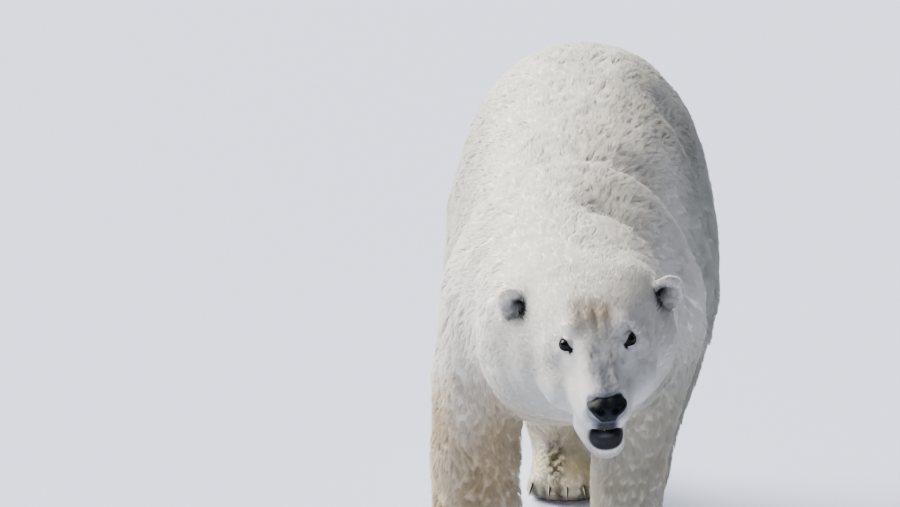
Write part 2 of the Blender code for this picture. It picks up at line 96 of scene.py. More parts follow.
def editAll(obj, *steps):
    # runs edit mode operators on the whole mesh
    activate(obj)
    bpy.ops.object.mode_set(mode="EDIT")
    bpy.ops.mesh.select_all(action="SELECT")
    for step, settings in steps:
        step(**settings)
    bpy.ops.object.mode_set(mode="OBJECT")


def readPoints(mesh):
    points = np.empty(len(mesh.vertices) * 3)
    mesh.vertices.foreach_get("co", points)
    return points.reshape(-1, 3)


def writePoints(mesh, points):
    mesh.vertices.foreach_set("co", points.astype(np.float32).ravel())
    mesh.update()


def readTriangles(mesh):
    corners = np.empty(len(mesh.loops), dtype=np.int64)
    mesh.loops.foreach_get("vertex_index", corners)
    return corners.reshape(-1, 3)


def step(low, high, values):
    # 0 below low, 1 above high, and smooth between; low may be the higher
    share = np.clip((values - low) / (high - low), 0, 1)
    return share * share * (3 - 2 * share)


def unit(vectors):
    return vectors / np.maximum(np.linalg.norm(vectors, axis=-1, keepdims=True), 1e-9)


def bell(points, place, size):
    gap = (points - np.array(place)) / np.array(size)
    return np.exp(-(gap * gap).sum(-1))


def wobble(points, size, seed):
    # smooth noise of about that size in metres, mostly within -1 and 1
    waves = np.random.default_rng(seed)
    total = np.zeros(len(points))
    for octave in (1.0, 0.53):
        for _ in range(6):
            way = waves.normal(size=3)
            way *= 2 * math.pi / (size * octave) / np.linalg.norm(way)
            total += octave * np.sin(points @ way + waves.uniform(0, 2 * math.pi))
    return total / 3.2


def middle(name):
    low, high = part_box(name)
    return np.array((low + high) / 2)


# the head's own axes: x to its left, y to the back, z up, worked out from eyes and nose
headMarks = {"eyeBack": -0.194, "eyeUp": 0.025, "noseBack": -0.372, "noseUp": -0.043}


def headAxes():
    left, right, nose = middle("eye_left"), middle("eye_right"), middle("nose")
    across = unit(left - right)
    between = (left + right) / 2
    rise = between - nose
    rise = unit(rise - across * (rise @ across))
    angle = math.atan2(
        headMarks["eyeUp"] - headMarks["noseUp"], headMarks["eyeBack"] - headMarks["noseBack"]
    )
    up = np.cross(across, rise)
    back = rise * math.cos(angle) - up * math.sin(angle)
    up = np.cross(across, back)
    origin = between - back * headMarks["eyeBack"] - up * headMarks["eyeUp"]
    return np.stack((across, back, up), axis=1), origin


headTurn, headOrigin = headAxes()


def intoHead(points):
    return (points - headOrigin) @ headTurn


def outOfHead(points):
    return points @ headTurn.T + headOrigin


def mirror(place, side):
    return np.array((place[0] * side, place[1], place[2]))


# stage, lights and camera
stage = {
    "aimFromNose": (-0.0438, 0.1374, 0.055),  # from the middle of the nose
    "elevation": 19.9,
    "distance": 10.5,
    "lens": 177.5,
    "aside": (-0.03122, 0.02490),  # the view's middle from the aim, right and up, per metre
    "floorSize": 90.0,
    "floorColour": "#CFD8F2",
    "skyColour": "#E6ECF6",
    "skyStrength": 0.20,
    "key": {"from": (-6.9, 5.4, 6.9), "spread": 50, "strength": 13.4, "colour": "#FFFAF3"},
    "fill": {"place": (-2.5, -9.5, 3.2), "size": 5.0, "energy": 42, "colour": "#EEF3FF"},
}


def makeFloor():
    # painted studio floor, matte
    bpy.ops.mesh.primitive_plane_add(size=stage["floorSize"])
    floor = bpy.context.object
    floor.name = "floor"
    look = {"Base Color": stage["floorColour"], "Roughness": 0.9}
    floor.data.materials.append(newMaterial("matte floor paint", look)[0])


def makeLights():
    world = bpy.data.worlds.new("studio")
    world.use_nodes = True
    sky = world.node_tree.nodes["Background"]
    sky.inputs["Color"].default_value = (*fromHex(stage["skyColour"]), 1)
    sky.inputs["Strength"].default_value = stage["skyStrength"]
    bpy.context.scene.world = world
    key, fill = stage["key"], stage["fill"]
    bpy.ops.object.light_add(type="SUN", location=key["from"])
    sun = bpy.context.object
    sun.name = "key"
    sun.data.angle = math.radians(key["spread"])
    sun.data.energy = key["strength"]
    sun.data.color = fromHex(key["colour"])
    sun.rotation_euler = Vector(key["from"]).to_track_quat("Z", "Y").to_euler()
    bpy.ops.object.light_add(type="AREA", location=fill["place"])
    lamp = bpy.context.object
    lamp.name = "fill"
    lamp.data.size = fill["size"]
    lamp.data.energy = fill["energy"]
    lamp.data.color = fromHex(fill["colour"])
    lamp.rotation_euler = (Vector(middle("neck")) - lamp.location).to_track_quat("-Z", "Y").to_euler()


def makeCamera():
    tilt = math.radians(stage["elevation"])
    back = Vector((0, -math.cos(tilt), math.sin(tilt)))
    up = Vector((0, math.sin(tilt), math.cos(tilt)))
    aim = Vector(middle("nose")) + Vector(stage["aimFromNose"])
    bpy.ops.object.camera_add(location=aim + back * stage["distance"])
    camera = bpy.context.object
    camera.data.lens = stage["lens"]
    right, above = stage["aside"]
    look = -back + Vector((1, 0, 0)) * right + up * above
    camera.rotation_euler = look.to_track_quat("-Z", "Y").to_euler()
    bpy.context.scene.camera = camera


makeFloor()
makeLights()
makeCamera()
print("stage ready")


# the skin: one closed mesh from the nodes of flesh, drawn in by the coat's depth
regionNames = ("trunk", "neck", "head", "muzzle", "ear", "upper", "haunch", "lower", "paw", "tail")
skinSettings = {
    "voxel": 0.0055,
    "keepBody": 0.12,  # shares of the faces that stay
    "keepPaws": 0.26,
    "keepHead": 0.34,
    "softenRounds": 24,
    "faceBack": -0.110,  # ahead of this, in the head's axes, the mesh is twice as fine
    "faceLow": -0.26,  # and above this
    "eyeReach": 0.034,  # and twice again this near to an eye
    "headBack": 0.06,  # the head for the thinning, in its own axes
    "headLow": -0.30,
    "pawTop": 0.11,
}
# depth: how far the skin lies inside the tips. length, width: of one strip of hair.
# gather: how much a lock's tips draw together. curl, wave: of its bends. locks: per square metre
coatColumns = ("depth", "length", "width", "gather", "curl", "wave", "locks")
coatSettings = {
    "trunk": (0.0095, 0.040, 0.0026, 0.16, 0.0011, 0.030, 5400),
    "neck": (0.0055, 0.036, 0.0029, 0.04, 0.0003, 0.040, 6000),
    "head": (0.0055, 0.021, 0.0016, 0.10, 0.0002, 0.030, 36000),
    "muzzle": (0.0018, 0.009, 0.0011, 0.10, 0.0000, 0.030, 95000),
    "ear": (0.0050, 0.015, 0.0015, 0.20, 0.0004, 0.020, 52000),
    "upper": (0.0120, 0.030, 0.0024, 0.20, 0.0018, 0.022, 5300),
    "haunch": (0.0140, 0.042, 0.0028, 0.30, 0.0020, 0.030, 4700),
    "lower": (0.0110, 0.026, 0.0024, 0.20, 0.0022, 0.022, 5700),
    "paw": (0.0055, 0.017, 0.0018, 0.30, 0.0008, 0.030, 24000),
    "tail": (0.0140, 0.044, 0.0028, 0.40, 0.0020, 0.040, 6000),
}
regionOfNode = {"trunk": "trunk", "neck": "neck", "head": "head", "lower_jaw": "head", "tail": "tail"}
regionOfNode.update({"ear_left": "ear", "ear_right": "ear"})
for leg, paw in zip(legNames, pawNames):
    top = "upper" if leg.startswith("fore") else "haunch"
    regionOfNode.update({leg + "_upper": top, leg + "_lower": "lower", paw: "paw"})
fleshNodes = sorted(regionOfNode)
# the carved forms of the face: place, size and push in the head's axes, the same on both sides
faceForms = {
    "socket": ((0.083, -0.196, 0.024), (0.021, 0.024, 0.017), (-0.0030, 0.0050, -0.0020)),
    "brow": ((0.066, -0.168, 0.060), (0.030, 0.030, 0.016), (0.0010, -0.0020, 0.0028)),
    "underEye": ((0.092, -0.190, -0.008), (0.024, 0.030, 0.010), (0.0028, -0.0020, -0.0005)),
    "tearFurrow": ((0.056, -0.232, 0.010), (0.010, 0.026, 0.014), (-0.0030, 0.0005, -0.0030)),
    "bridgeEdge": ((0.032, -0.280, 0.014), (0.013, 0.060, 0.014), (0.0016, 0, 0.0034)),
    "bridgeDip": ((0.000, -0.275, 0.030), (0.013, 0.060, 0.030), (0, 0, -0.0026)),
    "muzzleSide": ((0.060, -0.285, -0.018), (0.016, 0.045, 0.022), (-0.0050, 0, 0)),
    "whiskerPad": ((0.048, -0.338, -0.074), (0.022, 0.032, 0.030), (0.0040, -0.0020, 0)),
    "wingFurrow": ((0.050, -0.352, -0.030), (0.010, 0.016, 0.016), (-0.0035, 0.0015, 0)),
    "cheekFold": ((0.108, -0.165, -0.075), (0.014, 0.012, 0.050), (-0.0040, 0.0020, 0)),
    "browLobe": ((0.018, -0.165, 0.085), (0.011, 0.034, 0.030), (0.0012, -0.0010, 0.0038)),
    "browCrease": ((0.000, -0.170, 0.085), (0.0060, 0.036, 0.030), (0, 0.0010, -0.0045)),
    "philtrum": ((0.000, -0.375, -0.090), (0.0035, 0.030, 0.016), (0, 0.0035, 0)),
    "lowerLip": ((0.018, -0.352, -0.143), (0.028, 0.020, 0.012), (0.0004, -0.0030, 0)),
    "lipRim": ((0.000, -0.352, -0.138), (0.034, 0.014, 0.010), (0, 0, 0.0075)),
    "chinCrease": ((0.000, -0.345, -0.178), (0.040, 0.030, 0.008), (0, 0.0040, 0)),
}
oneSided = {  # forms that aren't the same left and right
    "jowl": ((0.152, -0.135, -0.145), (0.050, 0.080, 0.052), (-0.0270, 0.0120, 0.0170)),
    "lipOut": ((-0.056, -0.300, -0.142), (0.020, 0.050, 0.036), (-0.0210, 0, 0)),
    "lipIn": ((0.058, -0.300, -0.142), (0.020, 0.050, 0.036), (-0.0100, 0, 0)),
}


def joinedForm(names, label):
    pieces = []
    for name in names:
        piece = bpy.data.objects.new(label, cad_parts[name].data.copy())
        piece.data.materials.clear()
        bpy.context.scene.collection.objects.link(piece)
        pieces.append(piece)
    activate(*pieces)
    bpy.ops.object.join()
    form = bpy.context.object
    editAll(form, (bpy.ops.mesh.remove_doubles, {"threshold": 1e-5}))
    return form


def selectPoints(obj, chosen):
    activate(obj)
    bpy.ops.object.mode_set(mode="EDIT")
    bpy.ops.mesh.select_mode(type="VERT")
    bpy.ops.mesh.select_all(action="DESELECT")
    bpy.ops.object.mode_set(mode="OBJECT")
    obj.data.vertices.foreach_set("select", chosen)
    bpy.ops.object.mode_set(mode="EDIT")


def thin(obj, chosen, share):
    selectPoints(obj, chosen)
    bpy.ops.mesh.decimate(ratio=share)
    bpy.ops.object.mode_set(mode="OBJECT")


def refine(obj, chosen):
    selectPoints(obj, chosen)
    bpy.ops.mesh.subdivide(number_cuts=1)
    bpy.ops.mesh.select_all(action="SELECT")
    bpy.ops.mesh.quads_convert_to_tris(quad_method="BEAUTY", ngon_method="BEAUTY")
    bpy.ops.object.mode_set(mode="OBJECT")


def spread(values, edges, rounds, share=0.5):
    # averages each point's value with its neighbours'
    index = np.concatenate((edges[:, 0], edges[:, 1]))
    other = np.concatenate((edges[:, 1], edges[:, 0]))
    count = np.maximum(np.bincount(index, minlength=len(values)), 1)[:, None]
    for _ in range(rounds):
        near = values[other]
        mean = [np.bincount(index, near[:, k], len(values)) for k in range(values.shape[1])]
        values = values + share * (np.stack(mean, axis=1) / count - values)
    return values


def soften(points, edges, rounds):
    # smooths without shrinking
    once = spread(points, edges, rounds)
    return 2 * once - spread(once, edges, rounds)


def edgesOf(triangles):
    ends = np.concatenate((triangles[:, :2], triangles[:, 1:], triangles[:, ::2]))
    return np.unique(np.sort(ends, axis=1), axis=0)


def normalsOf(points, triangles):
    a, b, c = (points[triangles[:, k]] for k in range(3))
    faces = np.cross(b - a, c - a)
    total = np.zeros_like(points)
    for k in range(3):
        for axis in range(3):
            total[:, axis] += np.bincount(triangles[:, k], faces[:, axis], len(points))
    return unit(total)


def fleshTree():
    # a search tree over the solids of flesh, with the region of each face
    corners, faces, regions = [], [], []
    start = 0
    for name in fleshNodes:
        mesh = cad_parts[name].data
        corners.append(readPoints(mesh))
        faces.append(readTriangles(mesh) + start)
        regions += [regionNames.index(regionOfNode[name])] * len(faces[-1])
        start += len(corners[-1])
    tree = BVHTree.FromPolygons(np.concatenate(corners).tolist(), np.concatenate(faces).tolist())
    return tree, np.array(regions)


def regionShares(points, edges):
    # how much each point belongs to each region, soft at the borders
    tree, regions = fleshTree()
    nearest = np.array([tree.find_nearest(point)[2] for point in points.tolist()])
    shares = np.eye(len(regionNames))[regions[nearest]]
    shares = spread(shares, edges, 10)
    y = intoHead(points)[:, 1]
    for source, target, share in (
        ("head", "neck", step(-0.07, 0.05, y)),
        ("head", "muzzle", step(-0.150, -0.235, y)),
        ("lower", "paw", step(0.20, 0.09, points[:, 2])),
    ):
        start, end = regionNames.index(source), regionNames.index(target)
        moved = shares[:, start] * share
        shares[:, start] -= moved
        shares[:, end] += moved
    return shares


def blended(shares, key):
    column = coatColumns.index(key)
    return shares @ np.array([coatSettings[name][column] for name in regionNames])


def shareOf(shares, *names):
    return shares[:, [regionNames.index(name) for name in names]].sum(1)


earHoles = {"place": (0.169, -0.024, 0.022), "size": (0.0160, 0.036, 0.0170), "deep": 0.018}
faceEdge = {"back": (0.08, 0.03), "low": (-0.30, -0.24)}  # where the carving fades out
wrinkleSettings = {"size": 0.016, "height": 0.0006, "back": (-0.12, -0.16), "front": (-0.375, -0.345)}


def earHole(points, side, size=1.0):
    place = mirror(earHoles["place"], side)
    return bell(intoHead(points), place, np.array(earHoles["size"]) * size)


def carveFace(points):
    inHead = intoHead(points)
    push = np.zeros_like(inHead)
    for place, size, amount in faceForms.values():
        for side in (-1, 1) if place[0] else (1,):
            share = bell(inHead, mirror(place, side), size)
            push += share[:, None] * mirror(amount, side)
    for place, size, amount in oneSided.values():
        push += bell(inHead, place, size)[:, None] * np.array(amount)
    nearFace = step(*faceEdge["back"], inHead[:, 1]) * step(*faceEdge["low"], inHead[:, 2])
    for side in (-1, 1):
        push[:, 1] += earHole(points, side, 1.25) * earHoles["deep"]
    wrinkles = wobble(inHead * (1, 0.45, 1), wrinkleSettings["size"], 7) * wrinkleSettings["height"]
    for edge in ("back", "front"):
        wrinkles *= step(*wrinkleSettings[edge], inHead[:, 1])
    push[:, 2] += wrinkles
    return points + (push * nearFace[:, None]) @ headTurn.T


# eyes: almond openings, set deep, with the inner corner low
eyeSettings = {
    "radius": 0.0165,
    "outward": (0.60, -0.72, 0.34),
    "long": (0.60, 0.68, 0.36),  # from the inner corner to the outer
    "sink": 0.0038,  # the ball lies this much deeper than its solid
    "halfLong": 0.0126,
    "halfHigh": 0.0092,
    "taper": 0.28,  # of the inner corner
    "blackRim": (1.46, 1.30),
    "lidLift": 0.0014,  # of the lids over the ball
    "lidRoll": 0.0012,  # more at their edge
}


def eyeAxes(side):
    out = unit(mirror(eyeSettings["outward"], side) @ headTurn.T)
    long = mirror(eyeSettings["long"], side) @ headTurn.T
    long = unit(long - out * (long @ out))
    name = "eye_left" if side > 0 else "eye_right"
    centre = middle(name) - out * eyeSettings["sink"]
    return centre, out, long, np.cross(out, long)


def eyeRing(points, side):
    # how far each point is from the middle of the opening, where 1 is its edge
    centre, out, long, high = eyeAxes(side)
    ways = points - centre
    away = np.linalg.norm(ways, axis=1)
    ways = ways / away[:, None]
    radius = eyeSettings["radius"]
    u = ways @ long * radius / eyeSettings["halfLong"]
    v = ways @ high * radius / eyeSettings["halfHigh"]
    v = v * (1 + eyeSettings["taper"] * np.clip(-u, 0, 1.5))
    ring = np.sqrt(u * u + v * v)
    return np.where(ways @ out > 0, ring, 9.0), away, ways


def carveLids(points):
    radius = eyeSettings["radius"]
    for side in (-1, 1):
        centre = eyeAxes(side)[0]
        ring, away, ways = eyeRing(points, side)
        inside = radius - 0.0035
        roll = eyeSettings["lidRoll"] * bell(ring[:, None], (1.35,), (0.25,))
        lid = radius + eyeSettings["lidLift"] + roll
        target = inside + (lid - inside) * step(0.93, 1.12, ring)
        share = step(3.4, 1.4, ring) * step(3.2 * radius, 2.2 * radius, away)
        target = away + (target - away) * share
        points = centre + ways * target[:, None]
    return points


noseSettings = {
    "half": (0.0480, 0.030, 0.0312),
    "place": (0.0045, -0.374, -0.0415),
    "heights": (-1.0, -0.75, -0.4, 0.0, 0.35, 0.62, 1.0),
    "widths": (0.32, 0.48, 0.68, 0.90, 1.0, 0.76, 0.46),
    "nostril": (0.0168, 0.0072),
    "nostrilHalf": (0.0080, 0.0076),
    "nostrilDepth": 0.013,
    "slit": (0.0300, 0.0100),
    "slitHalf": (0.0110, 0.0022),
    "slitDepth": 0.0045,
}


def noseShare(inHead, size):
    # 1 within the nose pad's block, made larger by size
    gap = (inHead - np.array(noseSettings["place"])) / (np.array(noseSettings["half"]) * size)
    return step(1.06, 0.94, (gap**4).sum(1) ** 0.25)


def drawIn(points, triangles, shares):
    # moves the surface in by the coat's depth, and keeps the soles on the floor
    inHead = intoHead(points)
    lips = step(0.030, 0.014, np.abs(inHead[:, 2] + 0.126)) * step(-0.19, -0.25, inHead[:, 1])
    depth = blended(shares, "depth") * (1 - 0.8 * lips)
    depth = depth + 0.008 * noseShare(inHead, 1.10)  # room for the nose leather
    move = normalsOf(points, triangles) * depth[:, None]
    move[:, 2] *= step(0.0, 0.03, points[:, 2])
    return points - move


# valleys of the body behind each roll: y at each height z, how deep on the right and the left
rolls = {
    "neck": dict(
        heights=(0.75, 0.95, 1.13, 1.22, 1.30),
        places=(-0.56, -0.545, -0.500, -0.430, -0.410),
        deep=0.036, otherSide=0.35, fromX=0.00,
    ),
    "shoulder": dict(
        heights=(0.60, 0.85, 1.05, 1.20, 1.30),
        places=(-0.13, -0.12, -0.07, -0.100, -0.105),
        deep=0.034, otherSide=0.55, fromX=-0.16,
    ),
    "haunch": dict(
        heights=(0.55, 0.85, 1.05, 1.20, 1.30),
        places=(0.27, 0.27, 0.30, 0.36, 0.42),
        deep=0.028, otherSide=0.8, fromX=0.16,
    ),
}
rollWidths = (0.038, 0.085)  # of a valley, ahead of its floor and behind it
crest = {"share": 0.25, "ahead": 0.085, "width": 0.045}  # of the fold ahead of a valley
swells = ((0.0016, 0.085, 3), (0.0028, 0.21, 4))  # height, size and seed
innerLeg = {"push": 0.030, "place": (-0.17, -0.38, 0.46), "size": (0.05, 0.16, 0.20)}


def shapeBody(points, triangles, shares):
    normals = normalsOf(points, triangles)
    x, y, z = points.T
    body = shareOf(shares, "trunk", "neck", "upper", "haunch")
    body = np.maximum(body, shareOf(shares, "lower") * step(0.2, 0.35, z))
    push = sum(height * wobble(points, size, seed) for height, size, seed in swells)
    inner = innerLeg["push"] * bell(points, innerLeg["place"], innerLeg["size"])
    push = push + inner * step(0.1, 0.8, normals[:, 0])
    for roll in rolls.values():
        gap = y - np.interp(z, roll["heights"], roll["places"])
        valley = -roll["deep"] * np.exp(-((gap / np.where(gap < 0, *rollWidths)) ** 2))
        fold = np.exp(-(((gap + crest["ahead"]) / crest["width"]) ** 2))
        fold = crest["share"] * roll["deep"] * fold
        right = step(roll["fromX"] - 0.03, roll["fromX"] + 0.08, x)
        left = roll["otherSide"] * step(0.10, 0.24, -x)
        push = push + (valley + fold) * np.maximum(right, left) * step(0.55, 0.75, z)
    return points + normals * (push * body)[:, None]


def skinZone(points):
    # 0 on the head, 1 on the paws, 2 elsewhere, and 3 on the face, which isn't thinned
    inHead = intoHead(points)
    onHead = (inHead[:, 1] < skinSettings["headBack"]) & (inHead[:, 2] > skinSettings["headLow"])
    onFace = onHead & (inHead[:, 1] < skinSettings["faceBack"] + 0.01)
    onPaw = points[:, 2] < skinSettings["pawTop"]
    return np.where(onFace, 3, np.where(onHead, 0, np.where(onPaw, 1, 2)))


flews = {"place": (0.0445, -0.272, -0.128), "half": (0.0125, 0.080, 0.018), "splay": 0.10}


def makeFlews():
    # folds of the upper lip that close the mouth's corners
    folds = []
    for side in (-1, 1):
        bpy.ops.mesh.primitive_uv_sphere_add(segments=24, ring_count=16)
        fold = bpy.context.object
        points = readPoints(fold.data) * np.array(flews["half"])
        points[:, 0] += side * flews["splay"] * points[:, 1]
        writePoints(fold.data, outOfHead(points + mirror(flews["place"], side)))
        folds.append(fold)
    return folds


def makeSkin():
    form = joinedForm(fleshNodes + ["eye_left", "eye_right", "nose"], "skin")
    activate(form, *makeFlews())
    bpy.ops.object.join()
    applyModifier(form, "REMESH", {"mode": "VOXEL", "voxel_size": skinSettings["voxel"]})
    for zone, share in enumerate(("keepHead", "keepPaws", "keepBody")):
        thin(form, skinZone(readPoints(form.data)) == zone, skinSettings[share])
    editAll(form, (bpy.ops.mesh.quads_convert_to_tris, {"quad_method": "BEAUTY"}))
    print("skin thinned to", len(form.data.polygons))
    triangles = readTriangles(form.data)
    edges = edgesOf(triangles)
    points = soften(readPoints(form.data), edges, skinSettings["softenRounds"])
    points[:, 2] = np.maximum(points[:, 2], 0.0)
    shares = regionShares(points, edges)
    points = drawIn(points, triangles, shares)
    points = shapeBody(points, triangles, shares)
    writePoints(form.data, points)
    inHead = intoHead(points)
    ahead = inHead[:, 1] < skinSettings["faceBack"]
    refine(form, ahead & (inHead[:, 2] > skinSettings["faceLow"]))
    points = readPoints(form.data)
    fromEyes = [np.linalg.norm(points - eyeAxes(side)[0], axis=1) for side in (-1, 1)]
    refine(form, np.minimum(*fromEyes) < skinSettings["eyeReach"])
    triangles = readTriangles(form.data)
    edges = edgesOf(triangles)
    points = readPoints(form.data)
    face = (step(-0.02, -0.10, intoHead(points)[:, 1]) * step(0.4, 0.6, points[:, 2]))[:, None]
    points = points + (spread(points, edges, 6) - points) * face
    points = carveLids(carveFace(points))
    writePoints(form.data, points)
    form.data.shade_smooth()
    return form


skin = makeSkin()
skinPoints = readPoints(skin.data)
skinTriangles = readTriangles(skin.data)
skinEdges = edgesOf(skinTriangles)
skinNormals = normalsOf(skinPoints, skinTriangles)
skinShares = regionShares(skinPoints, skinEdges)
print("skin ready", len(skinTriangles), "triangles")


# the markings that skin and coat share, painted shade and a painted highlight among them
markColours = {
    "cream": "#F1EFE9",
    "yellow": "#DDD2B4",
    "tan": "#C9B591",
    "stain": "#A2804C",
    # grey of bare skin, also laid as painted shade on the face
    "greySkinAndShade": "#6A6E7A",
    # dark grey of scars, also laid as painted shade in the ears and at the chin
    "scarAndShade": "#44474F",
    # pale scars, also laid as a painted highlight on the lower lip
    "paleScarAndGlint": "#B9BBC2",
    # grey of dusty fur, laid mostly as painted shade
    "dustAndShade": "#B4B5A8",
    "black": "#111112",
    # dark earthy dirt, also laid as painted shade in the forehead crease and between the toes
    "dirtAndShade": "#4B4128",
}


# round marks on the body: colour, share, place and size
bodySpots = {
    "elbow": ("tan", 0.60, (-0.22, -0.44, 0.66), (0.085, 0.20, 0.15)),
    "innerLeg": ("stain", 0.55, (-0.13, -0.66, 0.74), (0.09, 0.10, 0.14)),
    # painted shade on the right of the throat, under the jaw, in grey and tan
    "throatShade": ("dustAndShade", 0.75, (0.20, -0.72, 0.90), (0.08, 0.16, 0.11)),
    "throatShadeTan": ("tan", 0.30, (0.20, -0.72, 0.90), (0.08, 0.16, 0.11)),
    "hindPaw": ("dirtAndShade", 1.50, (-0.068, 0.83, 0.10), (0.026, 0.10, 0.050)),
}
# painted shade, with some dirt, in the gaps between the toes
toeGaps = {"across": (-0.128, -0.097, -0.056, 0.018), "place": (0.74, 0.035), "size": (0.012, 0.05, 0.030)}
# and on the head, in its axes, as the ones below
stainLobes = (
    (0.70, (-0.034, -0.158, 0.078), (0.024, 0.050, 0.05)),
    (0.66, (0.003, -0.165, 0.078), (0.026, 0.044, 0.05)),
    (0.28, (0.020, -0.160, 0.080), (0.014, 0.034, 0.05)),
)
# painted shade on the forehead: a dark line down the centre crease and grey left of the stain
foreheadShade = (
    ("dirtAndShade", 0.42, (0.001, -0.190, 0.07), (0.0045, 0.030, 0.05)),
    ("greySkinAndShade", 0.36, (-0.042, -0.165, 0.08), (0.020, 0.050, 0.05)),
)
scars = (  # on the bridge of the muzzle
    ("paleScarAndGlint", 0.50, (0.004, -0.245, 0.04), (0.010, 0.026, 0.04)),
    ("paleScarAndGlint", 0.50, (-0.011, -0.300, 0.01), (0.0065, 0.045, 0.04)),
    ("paleScarAndGlint", 0.50, (-0.016, -0.350, 0.00), (0.0075, 0.026, 0.04)),
    ("paleScarAndGlint", 0.50, (0.024, -0.330, 0.01), (0.0070, 0.036, 0.04)),
    ("scarAndShade", 0.85, (0.001, -0.316, 0.01), (0.0085, 0.030, 0.04)),
    ("scarAndShade", 0.85, (0.026, -0.258, 0.03), (0.0035, 0.012, 0.04)),
    ("scarAndShade", 0.85, (-0.020, -0.255, 0.03), (0.0040, 0.010, 0.04)),
)
# on the lower lip: grey over its left side and the chin below, painted shade; and a pale streak along its
# wet top rim, a painted highlight
lowerLipShadeAndGlint = (
    ("scarAndShade", 0.28, (-0.034, -0.350, -0.138), (0.015, 0.030, 0.018)),
    ("paleScarAndGlint", 0.60, (-0.004, -0.349, -0.1305), (0.014, 0.012, 0.0040)),
)
# the grey reaches further towards the head's left, the side away from the key light, as painted shade
bridgeTone = {  # share of bare grey skin across the bridge
    "across": (-0.052, -0.030, -0.012, 0.012, 0.024, 0.045, 0.090),
    "shares": (0.0, 0.46, 0.92, 0.96, 0.80, 0.30, 0.0),
}
# a grey groove below each ear's opening, painted shade
earFurrow = ((0.177, -0.045, 0.008), (0.010, 0.04, 0.022))


